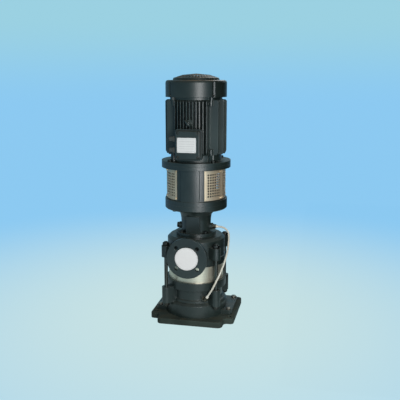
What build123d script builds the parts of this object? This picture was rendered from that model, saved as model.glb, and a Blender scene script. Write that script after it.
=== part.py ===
"""Vertical multistage pump: a flanged motor on a cast stool, over a short stack of stages held by tie rods.

Frame: +Z up along the pump's axis, origin on the floor at the axis, -Y is the front with the discharge flange and the
terminal box, +X is the right-hand side with the balance tube. Sizes are in millimetres.
"""

import math
import os

from build123d import *

os.makedirs("parts", exist_ok=True)

# ---------------------------------------------------------------- clearances
slip = 0.1  # radial clearance of a seat that is put together by hand
screw_slip = 0.4  # radial clearance of a screw in its hole
running = 0.3  # gap between a turning piece and a fixed one
diagonals = (45, 135, 225, 315)  # degrees from +X

# ---------------------------------------------------------------- base plate
plate_thickness = 25.0
wing_half_width = 187.0
wing_front = 105.0  # in front of the axis
wing_back = 170.0  # behind the axis
nose_half_width = 145.0
nose_front = 160.0
wing_corner_radius = min(16.0, 0.4 * (wing_half_width - nose_half_width))
nose_corner_radius = min(25.0, 0.4 * (nose_front - wing_front))
plate_edge_radius = 3.0
anchor_radius = 9.0
anchor_inset_x = 21.0  # from the plate's side edge to the hole's centre
anchor_inset_y = 28.0  # from the wing's front and back edges

# ---------------------------------------------------------------- stages and the sleeve round them
stage_count = 3
stage_height = 36.0
bowl_radius = 113.0
bowl_wall = 4.0
bowl_roof = 5.0
eye_radius = 38.0
sleeve_wall = 3.0
sleeve_radius = bowl_radius + 6.0 + sleeve_wall  # water runs up between the bowls and the sleeve

# ---------------------------------------------------------------- suction casing
ring_radius = sleeve_radius + 12.0
ring_height = 35.0
drum_radius = ring_radius + 4.0
drum_height = 62.0
throat_radius = ring_radius - 16.0
throat_height = 60.0
suction_chamber_radius = throat_radius - 18.0
suction_floor = 20.0
suction_height = 100.0  # centre of the inlet above the floor
foot_pad_reach = 172.0
foot_pad_front = 58.0
foot_pad_back = 128.0
foot_pad_height = 20.0
foot_bolt_inset = 16.0  # from the pad's edges to the bolt's centre
foot_bolt_radius = 6.0
foot_bolt_depth = 18.0

# ---------------------------------------------------------------- pipe flanges, DN50 PN16
port_radius = 25.0
pipe_radius = 36.0
flange_radius = 87.0
flange_thickness = 17.0
raised_face_radius = 51.0
raised_face_height = 3.0
flange_bolt_circle = 62.5  # radius
flange_hole_radius = 9.0
suction_reach = 200.0  # from the axis to the raised face

# ---------------------------------------------------------------- inside the stages
inlet_plate_thickness = 4.0
spigot_depth = 17.0  # depth of the inlet plate's seat in the suction casing
crown_depth = 22.0  # how far the last bowl reaches into the discharge casing
impeller_radius = bowl_radius - bowl_wall - 21.0
shroud_thickness = 3.0
blade_height = 10.0
blade_count = 6
blade_thickness = 3.0
hub_radius = 20.0
hub_height = 21.0
hub_lift = 3.0  # hub's foot above the stage's floor
return_vane_count = 8
return_vane_height = 6.0
return_vane_thickness = 3.0

# ---------------------------------------------------------------- outer sleeve's seats
groove_depth = 8.0
gasket_thickness = 1.0

# ---------------------------------------------------------------- discharge casing
casing_radius = sleeve_radius + 5.0
casing_height = 120.0
casing_foot_height = 30.0
casing_foot_lip = 4.0
casing_roof = 32.0
discharge_chamber_radius = bowl_radius - 8.0
discharge_lift = 59.0  # outlet's centre above the casing's foot
cover_radius = 49.0
cover_thickness = 0.8
discharge_reach = suction_reach - cover_thickness

# ---------------------------------------------------------------- lugs and tie rods
lug_circle = ring_radius + 23.0
lug_radius = 19.0
lower_lug_bottom = 83.0
lower_lug_height = 73.0
upper_lug_lift = 38.0  # above the discharge casing's foot
upper_lug_height = 50.0
rod_radius = 8.0
rod_end = 4.0  # how far a rod stands out of its nut
nut_flats = 26.0
nut_height = 14.0

# ---------------------------------------------------------------- neck
neck_foot_radius = 88.0
neck_foot_height = 16.0
neck_spigot_radius = 46.0
neck_spigot_depth = 12.0
neck_radius = 64.0
neck_flare = ((66.0, 50.0), (69.0, 32.0), (76.0, 15.0), (84.0, 4.0), (90.0, 0.0))  # radius, depth below the head
neck_height = 106.0
neck_pad_width = 60.0
neck_pad_reach = 72.0
neck_pad_height = 74.0
neck_head_height = 24.0
neck_bore_radius = 42.0
neck_counterbore_radius = 50.0
neck_floor = 20.0
neck_bolt_circle = 75.0
neck_bolt_radius = 6.0
boss_radius = 15.0
boss_reach = 75.0
boss_lift = 20.0  # side ports above the neck's foot
tapping_radius = 6.0

# ---------------------------------------------------------------- mechanical seal
seat_radius = 30.0
seat_height = 9.0
seal_face_radius = 26.0
seal_face_height = 8.0
bellows_radius = 22.0
bellows_turns = 3
bellows_pitch = 8.0
collar_radius = 27.0
collar_height = 8.0
seal_cover_lift = 65.0  # its ledge above the neck's floor
seal_cover_height = 10.0

# ---------------------------------------------------------------- motor stool
head_radius = 136.0
head_edge = 4.0
head_bolt_circle = 110.0  # radius
head_bolt_radius = 6.0
head_bolt_depth = 16.0  # in the stool's foot
stool_foot_height = 21.0
stool_window_height = 136.0
stool_head_height = 16.0
stool_head_radius = 150.0
stool_radius = 127.0
stool_wall = 9.0
window_half_depth = 105.0
window_rim = 16.0
column_pad_radius = 134.0
column_pad_half_width = 40.0
guard_gap = 0.2
guard_thickness = 1.5
guard_panels = 3
panel_angle = 41.5  # width of a panel as seen from the axis
panel_pitch = 41.7
guard_rim = 4.0
punch_size = 7.0
punch_pitch = 11.5
punch_rows = 9
punch_columns = 6
guard_screw_spread = 17.6  # from a panel's middle, as seen from the axis
guard_screw_inset = 11.0
guard_screw_radius = 2.4

# ---------------------------------------------------------------- shafts and coupling
pump_shaft_radius = 14.0
pump_shaft_foot = 52.0
shoulder_radius = 17.0
shoulder_height = 20.0
coupling_radius = 44.0
coupling_height = 108.0
coupling_split = 0.8
coupling_bolt_x = 29.0
coupling_bolt_radius = 4.0
coupling_bolt_head_radius = 6.5
coupling_bolt_head_height = 8.0
coupling_bolt_reach = 26.0
motor_stub_radius = 19.0
motor_stub_length = 80.0
shaft_gap = 8.0  # between the ends of the two shafts
journal_radius = 20.0
core_seat_radius = 24.0
fan_seat_radius = 15.0
key_width = 10.0
key_height = 8.0
key_length = 38.0

# ---------------------------------------------------------------- motor
motor_flange_radius = 150.0
motor_flange_height = 14.0
motor_spigot_radius = 115.0
motor_spigot_height = 4.0
motor_bolt_circle = 132.5  # radius
motor_bolt_radius = 6.0
bearing_bore = journal_radius
bearing_radius = 45.0
bearing_width = 23.0
ball_pitch_radius = 32.5
ball_radius = 7.5
ball_count = 7
ball_gap = 0.2
race_inner_top = 28.0
race_outer_bottom = 37.0
housing_radius = 52.0
shield_height = 29.0
shield_radius = 110.0
shield_wall = 13.0
frame_height = 229.0
frame_radius = 105.0
frame_bore_radius = 96.0
fin_reach = 132.0
fin_thickness = 4.0
front_fin_pitch = 13.5
front_fins = 11
side_fin_pitch = 36.0
side_fins = 5
fin_end_chamfer = 6.0
rotor_radius = 62.0
air_gap = 0.6
core_length = 166.0
core_lift = 20.0
end_ring_height = 10.0
end_ring_radius = 45.0
coil_height = 19.0
fan_shield_height = 12.0
fan_shield_radius = 112.0
ear_radius = 9.0

# ---------------------------------------------------------------- fan and cowl
cowl_radius = 131.0
cowl_wall = 2.0
cowl_height = 70.0
cowl_overlap = 1.0  # how far its edge comes down past the fan shield's top
cowl_shoulder = 10.0
dome_radius = 97.0
dome_step = 9.0
dome_rise = 18.0
flute_radius = 10.0
flute_circle = 137.0
cowl_screw_lift = 7.0
cowl_screw_head = 4.5
fan_radius = 108.0
fan_blades = 7
fan_blade_height = 34.0
fan_hub_radius = 24.0

# ---------------------------------------------------------------- terminal box
box_width = 112.0
box_height = 128.0
box_depth = 24.0
box_wall = 5.0
box_inset = 6.0  # how far the frame's boss stands in from the box's sides
box_inset_foot = 17.0  # and from its top and foot
box_back = fin_reach + 2.0  # from the axis to the back of the box
box_lift = 50.0  # its centre above the frame's foot
lid_width = 102.0
lid_height = 116.0
lid_depth = 14.0
label_width = 79.0
label_height = 61.0
label_thickness = 1.0
label_shift = 4.0
cable_plug_spacing = 46.0
cable_plug_radius = 11.0
eye_lift = 137.0
eye_boss_radius = 15.0
eye_ring_radius = 15.5
eye_bar_radius = 4.5

# ---------------------------------------------------------------- balance tube
tube_radius = 4.0
tube_exit = 90.0  # from the axis to the upper fitting's mouth
lower_port_angle = 27.0  # from the front towards the right
lower_port_lift = 26.0  # above the drum
lower_elbow_reach = 148.0

# ---------------------------------------------------------------- levels that follow from the sizes
drum_top = plate_thickness + drum_height
throat_top = drum_top + throat_height
ring_top = throat_top + ring_height
stack_foot = ring_top - spigot_depth
stages_foot = stack_foot + inlet_plate_thickness
stack_top = stages_foot + stage_count * stage_height
casing_foot = stack_top - crown_depth
casing_top = casing_foot + casing_height
discharge_level = casing_foot + discharge_lift
upper_lug_bottom = casing_foot + upper_lug_lift
upper_lug_top = upper_lug_bottom + upper_lug_height
neck_foot_top = casing_top + neck_foot_height
neck_cone_top = neck_foot_top + neck_height
neck_top = neck_cone_top + neck_head_height
neck_floor_top = casing_top - neck_spigot_depth + neck_floor
port_level = neck_foot_top + boss_lift
seal_cover_foot = neck_floor_top + seal_cover_lift
foot_bolt_x = foot_pad_reach - foot_bolt_inset
foot_bolt_places = [
    (x, y) for x in (-foot_bolt_x, foot_bolt_x) for y in (foot_bolt_inset - foot_pad_front, foot_pad_back - foot_bolt_inset)
]
anchor_x = wing_half_width - anchor_inset_x
anchor_places = [
    (x, y) for x in (-anchor_x, anchor_x) for y in (anchor_inset_y - wing_front, wing_back - anchor_inset_y)
]
stool_foot_top = neck_top + stool_foot_height
stool_head_foot = stool_foot_top + stool_window_height
stool_top = stool_head_foot + stool_head_height
motor_flange_top = stool_top + motor_flange_height
frame_foot = motor_flange_top + shield_height
frame_top = frame_foot + frame_height
fan_shield_top = frame_top + fan_shield_height
cowl_foot = fan_shield_top - cowl_overlap
cowl_top = cowl_foot + cowl_height
drive_bearing_level = frame_foot - 2.0 - bearing_width / 2
fan_bearing_level = frame_top - bearing_width / 2 + 1.5
motor_shaft_foot = stool_top - motor_stub_length
pump_shaft_top = motor_shaft_foot - shaft_gap
coupling_foot = (pump_shaft_top + motor_shaft_foot) / 2 - coupling_height / 2
core_foot = frame_foot + core_lift
core_top = core_foot + core_length
box_level = frame_foot + box_lift
eye_level = frame_foot + eye_lift
front = Plane(origin=(0, 0, 0), x_dir=(1, 0, 0), z_dir=(0, -1, 0))  # local y is up, normal to the front


def keep(builder, name):
    """Labels a finished piece and writes it to its own file."""
    builder.part.label = name
    export_step(builder.part, os.path.join("parts", name + ".step"))


def turned(*outline, mode=Mode.ADD):
    """Turns an outline of (radius, height) points about the pump's axis."""
    with BuildSketch(Plane.XZ) as profile:
        with BuildLine():
            Polyline(*outline, close=True)
        make_face()
    revolve(profile.sketch, axis=Axis.Z, mode=mode)


def ring(outer, inner, bottom, top):
    """Adds a plain ring about the pump's axis."""
    turned((inner, bottom), (outer, bottom), (outer, top), (inner, top))


def lugs(circle, radius, bottom, height, start):
    """Adds four lugs on the diagonals, from the radius where they start out to their round ends."""
    with BuildSketch(Plane.XY.offset(bottom)) as plan:
        with PolarLocations(circle, 4, start_angle=45):
            Circle(radius)
        with PolarLocations((start + circle) / 2, 4, start_angle=45):
            Rectangle(circle - start, 2 * radius)
    extrude(plan.sketch, amount=height)


def diagonal_holes(circle, radius, bottom, height):
    """Cuts four round holes on the diagonals."""
    with BuildSketch(Plane.XY.offset(bottom)) as plan:
        with PolarLocations(circle, 4, start_angle=45):
            Circle(radius)
    extrude(plan.sketch, amount=height, mode=Mode.SUBTRACT)


def hex_bolt(shank_radius, shank_length, flats, head_height):
    """A hexagon bolt with its head's seat at the origin and its shank pointing down."""
    with BuildPart() as bolt:
        with BuildSketch():
            RegularPolygon(flats / 2, 6, major_radius=False)
        extrude(amount=head_height)
        with BuildSketch():
            Circle(shank_radius)
        extrude(amount=-shank_length)
    return bolt.part


def hex_nut(bore_radius, flats, height):
    """A hexagon nut standing on the origin."""
    with BuildPart() as nut:
        with BuildSketch():
            RegularPolygon(flats / 2, 6, major_radius=False)
            Circle(bore_radius, mode=Mode.SUBTRACT)
        extrude(amount=height)
    return nut.part


def pan_screw(shank_radius, shank_length, head_radius, head_height):
    """A round-headed screw with its head's seat at the origin and its shank pointing down."""
    with BuildPart() as screw:
        with BuildSketch():
            Circle(head_radius)
        extrude(amount=head_height)
        fillet(screw.edges().group_by(Axis.Z)[-1], head_height * 0.45)
        with BuildSketch():
            Circle(shank_radius)
        extrude(amount=-shank_length)
    return screw.part


def radial(angle, radius, level):
    """A place on a cylinder about the pump's axis, with its own +Z pointing outwards. The angle is from +X."""
    a = math.radians(angle)
    out = (math.cos(a), math.sin(a), 0)
    origin = (radius * out[0], radius * out[1], level)
    return Plane(origin=origin, x_dir=(-out[1], out[0], 0), z_dir=out)


def pipe_flange(direction, reach, level):
    """Adds a nozzle with its pipe flange; direction is -1 for the front and 1 for the back."""
    facing = Plane(origin=(0, 0, level), x_dir=(-direction, 0, 0), z_dir=(0, direction, 0))
    back = reach - raised_face_height - flange_thickness
    with BuildSketch(facing.offset(suction_chamber_radius)) as pipe:
        Circle(pipe_radius)
    extrude(pipe.sketch, amount=back - suction_chamber_radius + 1)
    with BuildSketch(facing.offset(back)) as disc:
        Circle(flange_radius)
        with PolarLocations(flange_bolt_circle, 4, start_angle=45):
            Circle(flange_hole_radius, mode=Mode.SUBTRACT)
    extrude(disc.sketch, amount=flange_thickness)
    with BuildSketch(facing.offset(back + flange_thickness)) as face:
        Circle(raised_face_radius)
    extrude(face.sketch, amount=raised_face_height)


def port_bore(direction, level):
    """Cuts a nozzle's bore through to the chamber."""
    facing = Plane(origin=(0, 0, level), x_dir=(-direction, 0, 0), z_dir=(0, direction, 0))
    with BuildSketch(facing.offset(suction_chamber_radius - suction_floor)) as bore:
        Circle(port_radius)
    extrude(bore.sketch, amount=suction_reach, mode=Mode.SUBTRACT)


# ================================================================ base plate
with BuildPart() as base_plate:
    with BuildSketch() as plate_outline:
        with Locations((0, (wing_back - wing_front) / 2)):
            Rectangle(2 * wing_half_width, wing_front + wing_back)
        with Locations((0, (wing_back - nose_front) / 2)):
            Rectangle(2 * nose_half_width, nose_front + wing_back)
        nose_corners = plate_outline.vertices().group_by(Axis.Y)[0]
        fillet(nose_corners, nose_corner_radius)
        side_corners = [v for v in plate_outline.vertices() if abs(v.X) > nose_half_width + 1 or v.Y == -wing_front]
        fillet(side_corners, wing_corner_radius)
    extrude(amount=plate_thickness)
    fillet(base_plate.faces().sort_by(Axis.Z)[-1].edges(), plate_edge_radius)
    with BuildSketch():
        with Locations(*anchor_places):
            Circle(anchor_radius)
    extrude(amount=plate_thickness, mode=Mode.SUBTRACT)
    with BuildSketch(Plane.XY.offset(plate_thickness - foot_bolt_depth)):
        with Locations(*foot_bolt_places):
            Circle(foot_bolt_radius + slip)
    extrude(amount=foot_bolt_depth, mode=Mode.SUBTRACT)
keep(base_plate, "base_plate")

foot_bolt = hex_bolt(foot_bolt_radius, foot_pad_height + foot_bolt_depth - 2, 19, 8)
with BuildPart() as foot_bolts:
    with Locations(*[(x, y, plate_thickness + foot_pad_height) for x, y in foot_bolt_places]):
        add(foot_bolt)
keep(foot_bolts, "foot_bolts")

# ================================================================ suction casing
lower_port = radial(lower_port_angle - 90, 0, drum_top + lower_port_lift)
groove_inner = sleeve_radius - sleeve_wall - slip
groove_outer = sleeve_radius + slip
bush_bore = pump_shaft_radius + 0.06
bush_radius = 17.0
pedestal_radius = 26.0
pedestal_top = plate_thickness + suction_floor + 30.0
drain_angle = 108.0
drain_level = plate_thickness + 28.0

with BuildPart() as suction_casing:
    turned(
        (0, plate_thickness),
        (drum_radius, plate_thickness),
        (drum_radius, drum_top - 9),
        (drum_radius - 9, drum_top),
        (throat_radius + 6, drum_top + 2),
        (throat_radius + 6, drum_top + 10),
        (throat_radius, drum_top + 16),
        (throat_radius, throat_top - 6),
        (throat_radius + 6, throat_top),
        (ring_radius, throat_top),
        (ring_radius, ring_top),
        (0, ring_top),
    )
    lugs(lug_circle, lug_radius, lower_lug_bottom, lower_lug_height, throat_radius - 20)
    with BuildSketch(Plane.XY.offset(plate_thickness)):
        with Locations((0, (foot_pad_back - foot_pad_front) / 2)):
            RectangleRounded(2 * foot_pad_reach, foot_pad_front + foot_pad_back, 12)
    extrude(amount=foot_pad_height)
    pipe_flange(1, suction_reach, suction_height)
    with BuildSketch(lower_port.offset(throat_radius - 10)):
        Circle(13)
    extrude(amount=16)
    with BuildSketch(radial(drain_angle, drum_radius - 10, drain_level)):
        Circle(16)
    extrude(amount=14)
    turned(
        (0, plate_thickness + suction_floor),
        (suction_chamber_radius, plate_thickness + suction_floor),
        (suction_chamber_radius, stack_foot),
        (bowl_radius + slip, stack_foot),
        (bowl_radius + slip, ring_top + 1),
        (0, ring_top + 1),
        mode=Mode.SUBTRACT,
    )
    turned(
        (groove_inner, ring_top - groove_depth),
        (groove_outer, ring_top - groove_depth),
        (groove_outer, ring_top + 1),
        (groove_inner, ring_top + 1),
        mode=Mode.SUBTRACT,
    )
    with BuildSketch(Plane.XY.offset(plate_thickness + suction_floor - 1)):
        Circle(pedestal_radius)
        Circle(bush_radius + slip, mode=Mode.SUBTRACT)
    extrude(amount=pedestal_top - plate_thickness - suction_floor + 1)
    port_bore(1, suction_height)
    diagonal_holes(lug_circle, rod_radius + screw_slip, lower_lug_bottom - 1, lower_lug_height + 2)
    with BuildSketch(Plane.XY.offset(plate_thickness)):
        with Locations(*foot_bolt_places):
            Circle(foot_bolt_radius + screw_slip)
    extrude(amount=foot_pad_height, mode=Mode.SUBTRACT)
    with BuildSketch(lower_port.offset(suction_chamber_radius - 5)):
        Circle(tapping_radius)
    extrude(amount=40, mode=Mode.SUBTRACT)
    with BuildSketch(radial(drain_angle, drum_radius - 18, drain_level)):
        Circle(tapping_radius)
    extrude(amount=30, mode=Mode.SUBTRACT)
keep(suction_casing, "suction_casing")

with BuildPart() as bottom_bush:
    ring(bush_radius, bush_bore, plate_thickness + suction_floor, pedestal_top)
keep(bottom_bush, "bottom_bush")

# ================================================================ stages
with BuildPart() as inlet_plate:
    ring(bowl_radius, eye_radius, stack_foot, stages_foot)
keep(inlet_plate, "inlet_plate")


def stage_bowl(floor):
    """One stage's bowl: a wall, a roof with the next eye, and return vanes under the roof."""
    roof = floor + stage_height - bowl_roof
    with BuildPart() as bowl:
        turned(
            (bowl_radius - bowl_wall, floor),
            (bowl_radius, floor),
            (bowl_radius, floor + stage_height),
            (eye_radius, floor + stage_height),
            (eye_radius, roof),
            (bowl_radius - bowl_wall, roof),
        )
        with BuildSketch(Plane.XY.offset(roof - return_vane_height)) as vanes:
            with BuildLine(mode=Mode.PRIVATE) as vane_line:
                ThreePointArc((0.44 * bowl_radius, 0), (0.73 * bowl_radius, 14), (bowl_radius - bowl_wall + 1, 44))
            vane = trace(vane_line.line, return_vane_thickness, mode=Mode.PRIVATE).face()
            with PolarLocations(0, return_vane_count):
                add(vane)
            Circle(bowl_radius - 1, mode=Mode.INTERSECT)
        extrude(amount=return_vane_height + 1)
    return bowl


def impeller(floor):
    """A closed impeller: two shrouds, swept-back blades between them, a hub and an eye collar."""
    low = floor + 5
    high = low + shroud_thickness + blade_height
    hub_foot = floor + hub_lift
    with BuildPart() as wheel:
        ring(impeller_radius, eye_radius - 4, low, low + shroud_thickness)
        ring(eye_radius - running, eye_radius - 4, floor - 3, low + 1)
        ring(impeller_radius, pump_shaft_radius + slip, high, high + shroud_thickness)
        ring(hub_radius, pump_shaft_radius + slip, hub_foot, hub_foot + hub_height)
        with BuildSketch(Plane.XY.offset(low + shroud_thickness - 0.5)):
            with BuildLine(mode=Mode.PRIVATE) as blade_line:
                ThreePointArc((eye_radius - 2, 0), (0.66 * impeller_radius, -20), (0.8 * impeller_radius, -54))
            blade = trace(blade_line.line, blade_thickness, mode=Mode.PRIVATE).face()
            with PolarLocations(0, blade_count):
                add(blade)
            Circle(impeller_radius - 0.5, mode=Mode.INTERSECT)
        extrude(amount=blade_height + 1)
    return wheel


for stage in range(stage_count):
    stage_floor = stages_foot + stage * stage_height
    keep(stage_bowl(stage_floor), f"stage_bowl_{stage + 1}")
    keep(impeller(stage_floor), f"impeller_{stage + 1}")

hub_top = hub_lift + hub_height
with BuildPart() as impeller_spacers:
    for stage in range(stage_count):
        spacer_foot = stages_foot + stage * stage_height + hub_top
        ring(hub_radius - 2, pump_shaft_radius + slip, spacer_foot, spacer_foot + stage_height - hub_height)
keep(impeller_spacers, "impeller_spacers")

with BuildPart() as impeller_nut:
    with Locations((0, 0, stages_foot + hub_lift - 14)):
        add(hex_nut(pump_shaft_radius + slip, 34, 14))
keep(impeller_nut, "impeller_nut")

shoulder_foot = stages_foot + stage_count * stage_height + hub_lift
with BuildPart() as pump_shaft:
    turned(
        (0, pump_shaft_foot),
        (pump_shaft_radius, pump_shaft_foot),
        (pump_shaft_radius, shoulder_foot),
        (shoulder_radius, shoulder_foot),
        (shoulder_radius, shoulder_foot + shoulder_height),
        (pump_shaft_radius, shoulder_foot + shoulder_height),
        (pump_shaft_radius, pump_shaft_top),
        (0, pump_shaft_top),
    )
keep(pump_shaft, "pump_shaft")

# ================================================================ outer sleeve
sleeve_foot = ring_top - groove_depth + gasket_thickness
sleeve_top = casing_foot + groove_depth - gasket_thickness
with BuildPart() as pump_sleeve:
    ring(sleeve_radius, sleeve_radius - sleeve_wall, sleeve_foot, sleeve_top)
keep(pump_sleeve, "pump_sleeve")

with BuildPart() as sleeve_gaskets:
    ring(sleeve_radius, sleeve_radius - sleeve_wall, sleeve_foot - gasket_thickness, sleeve_foot)
    ring(sleeve_radius, sleeve_radius - sleeve_wall, sleeve_top, sleeve_top + gasket_thickness)
keep(sleeve_gaskets, "sleeve_gaskets")

# ================================================================ discharge casing
with BuildPart() as discharge_casing:
    turned(
        (0, casing_foot),
        (casing_radius + casing_foot_lip, casing_foot),
        (casing_radius + casing_foot_lip, casing_foot + casing_foot_height),
        (casing_radius, casing_foot + casing_foot_height + 3),
        (casing_radius, casing_top - 12),
        (casing_radius - 12, casing_top),
        (0, casing_top),
    )
    lugs(lug_circle, lug_radius, upper_lug_bottom, upper_lug_height, casing_radius - 25)
    pipe_flange(-1, discharge_reach, discharge_level)
    turned(
        (0, casing_foot - 1),
        (bowl_radius + slip, casing_foot - 1),
        (bowl_radius + slip, stack_top),
        (discharge_chamber_radius, stack_top),
        (discharge_chamber_radius, casing_top - casing_roof),
        (0, casing_top - casing_roof),
        mode=Mode.SUBTRACT,
    )
    turned(
        (groove_inner, casing_foot - 1),
        (groove_outer, casing_foot - 1),
        (groove_outer, casing_foot + groove_depth),
        (groove_inner, casing_foot + groove_depth),
        mode=Mode.SUBTRACT,
    )
    with BuildSketch(Plane.XY.offset(casing_top - casing_roof - 1)):
        Circle(neck_spigot_radius)
    extrude(amount=casing_roof + 2, mode=Mode.SUBTRACT)
    port_bore(-1, discharge_level)
    diagonal_holes(lug_circle, rod_radius + screw_slip, upper_lug_bottom - 1, upper_lug_height + 2)
    diagonal_holes(neck_bolt_circle, neck_bolt_radius + slip, casing_top - 20, 21)
keep(discharge_casing, "discharge_casing")

with BuildPart() as port_cover:
    with BuildSketch(front.offset(discharge_reach)):
        with Locations((0, discharge_level)):
            Circle(cover_radius)
    extrude(amount=cover_thickness)
keep(port_cover, "port_cover")

# ================================================================ tie rods
rod_foot = lower_lug_bottom - nut_height - rod_end
rod_top = upper_lug_top + nut_height + rod_end
with BuildPart() as tie_rods:
    with BuildSketch(Plane.XY.offset(rod_foot)):
        with PolarLocations(lug_circle, 4, start_angle=45):
            Circle(rod_radius)
    extrude(amount=rod_top - rod_foot)
    chamfer(tie_rods.edges().group_by(Axis.Z)[-1], 1.5)
keep(tie_rods, "tie_rods")

tie_nut = hex_nut(rod_radius + slip, nut_flats, nut_height)
with BuildPart() as tie_rod_nuts:
    for nut_foot in (lower_lug_bottom - nut_height, upper_lug_top):
        with Locations((0, 0, nut_foot)):
            with PolarLocations(lug_circle, 4, start_angle=45):
                add(tie_nut)
keep(tie_rod_nuts, "tie_rod_nuts")

# ================================================================ neck with the seal chamber
with BuildPart() as neck:
    turned(
        (0, casing_top - neck_spigot_depth),
        (neck_spigot_radius - slip, casing_top - neck_spigot_depth),
        (neck_spigot_radius - slip, casing_top),
        (neck_foot_radius, casing_top),
        (neck_foot_radius, neck_foot_top),
        (neck_radius, neck_foot_top),
        *[(radius, neck_cone_top - depth) for radius, depth in neck_flare],
        (head_radius - head_edge, neck_cone_top),
        (head_radius, neck_cone_top + head_edge),
        (head_radius, neck_top),
        (0, neck_top),
    )
    with BuildSketch(Plane.XY.offset(neck_foot_top)):
        Rectangle(neck_pad_width, 2 * neck_pad_reach)
    extrude(amount=neck_pad_height)
    with BuildSketch(Plane.YZ.offset(-boss_reach)):
        with Locations((0, port_level)):
            Circle(boss_radius)
    extrude(amount=2 * boss_reach)
    turned(
        (0, neck_floor_top),
        (neck_bore_radius, neck_floor_top),
        (neck_bore_radius, seal_cover_foot),
        (neck_counterbore_radius, seal_cover_foot),
        (neck_counterbore_radius, neck_top + 1),
        (0, neck_top + 1),
        mode=Mode.SUBTRACT,
    )
    with BuildSketch(Plane.XY.offset(casing_top - neck_spigot_depth - 1)):
        Circle(pump_shaft_radius + 2.5)
    extrude(amount=neck_floor + 2, mode=Mode.SUBTRACT)
    with BuildSketch(Plane.YZ.offset(-boss_reach - 1)):
        with Locations((0, port_level)):
            Circle(tapping_radius)
    extrude(amount=2 * boss_reach + 2, mode=Mode.SUBTRACT)
    diagonal_holes(neck_bolt_circle, neck_bolt_radius + screw_slip, casing_top - 1, neck_foot_height + 2)
    diagonal_holes(head_bolt_circle, head_bolt_radius + screw_slip, neck_cone_top - 1, neck_head_height + 2)
keep(neck, "neck")

with BuildPart() as neck_bolts:
    with Locations((0, 0, neck_foot_top)):
        with PolarLocations(neck_bolt_circle, 4, start_angle=45):
            add(hex_bolt(neck_bolt_radius, neck_foot_height + 18, 18, 8))
keep(neck_bolts, "neck_bolts")

pipe_plug = hex_bolt(tapping_radius - slip, 12, 22, 10)
with BuildPart() as pipe_plugs:
    with Locations(radial(180, boss_reach, port_level)):
        add(pipe_plug)
    with Locations(radial(drain_angle, drum_radius + 4, drain_level)):
        add(pipe_plug)
keep(pipe_plugs, "pipe_plugs")

# ================================================================ mechanical seal
face_foot = neck_floor_top + seat_height + running
bellows_foot = face_foot + seal_face_height
shaft_bore = pump_shaft_radius + slip
with BuildPart() as seal_seat:
    ring(seat_radius, pump_shaft_radius + 2, neck_floor_top, neck_floor_top + seat_height)
keep(seal_seat, "seal_seat")

with BuildPart() as seal_face:
    ring(seal_face_radius, shaft_bore, face_foot, bellows_foot)
keep(seal_face, "seal_face")

with BuildPart() as seal_bellows:
    folds = [(shaft_bore, bellows_foot)]
    for turn in range(bellows_turns):
        fold_foot = bellows_foot + turn * bellows_pitch
        folds.append((bellows_radius - 4, fold_foot))
        folds.append((bellows_radius, fold_foot + bellows_pitch / 2))
    bellows_top = bellows_foot + bellows_turns * bellows_pitch
    folds.append((bellows_radius - 4, bellows_top))
    folds.append((collar_radius, bellows_top))
    folds.append((collar_radius, bellows_top + collar_height))
    folds.append((shaft_bore, bellows_top + collar_height))
    turned(*folds)
keep(seal_bellows, "seal_bellows")

with BuildPart() as seal_cover:
    turned(
        (pump_shaft_radius + 2, seal_cover_foot),
        (neck_counterbore_radius - slip, seal_cover_foot),
        (neck_counterbore_radius - slip, seal_cover_foot + seal_cover_height),
        (pump_shaft_radius + 12, seal_cover_foot + seal_cover_height),
        (pump_shaft_radius + 8, seal_cover_foot + seal_cover_height + 6),
        (pump_shaft_radius + 2, seal_cover_foot + seal_cover_height + 6),
    )
keep(seal_cover, "seal_cover")

# ================================================================ motor stool and its guards
panel_middles = [(k - (guard_panels - 1) / 2) * panel_pitch for k in range(guard_panels)]
guard_screw_places = [
    (turn, level)
    for turn in (-guard_screw_spread, guard_screw_spread)
    for level in (stool_foot_top + guard_screw_inset, stool_head_foot - guard_screw_inset)
]
with BuildPart() as motor_stool:
    turned(
        (0, neck_top),
        (head_radius, neck_top),
        (head_radius, stool_foot_top - head_edge / 2),
        (head_radius - head_edge / 4, stool_foot_top),
        (stool_radius, stool_foot_top),
        (stool_radius, stool_head_foot),
        (stool_head_radius, stool_head_foot),
        (stool_head_radius, stool_top),
        (0, stool_top),
    )
    with BuildSketch(Plane.XY.offset(stool_foot_top)):
        Circle(column_pad_radius)
        Rectangle(2 * column_pad_half_width, 2 * stool_head_radius, mode=Mode.INTERSECT)
    extrude(amount=stool_window_height)
    turned(
        (0, neck_top - 1),
        (neck_counterbore_radius, neck_top - 1),
        (neck_counterbore_radius, stool_foot_top),
        (stool_radius - stool_wall, stool_foot_top),
        (stool_radius - stool_wall, stool_head_foot),
        (motor_spigot_radius - 12, stool_head_foot),
        (motor_spigot_radius - 12, stool_top - motor_spigot_height - 0.2),
        (motor_spigot_radius + slip, stool_top - motor_spigot_height - 0.2),
        (motor_spigot_radius + slip, stool_top + 1),
        (0, stool_top + 1),
        mode=Mode.SUBTRACT,
    )
    with BuildSketch(Plane.XY.offset(stool_foot_top + window_rim)):
        Rectangle(2 * stool_head_radius, 2 * window_half_depth)
    extrude(amount=stool_window_height - 2 * window_rim, mode=Mode.SUBTRACT)
    diagonal_holes(head_bolt_circle, head_bolt_radius + slip, neck_top - 1, head_bolt_depth + 1)
    diagonal_holes(motor_bolt_circle, motor_bolt_radius + slip, stool_head_foot - 1, stool_head_height + 2)
    for side in (0, 180):
        for middle in panel_middles:
            for turn, level in guard_screw_places:
                with BuildSketch(radial(side + middle + turn, stool_radius - stool_wall - 2, level)):
                    Circle(guard_screw_radius + slip)
                extrude(amount=stool_wall + 4, mode=Mode.SUBTRACT)
keep(motor_stool, "motor_stool")


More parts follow.
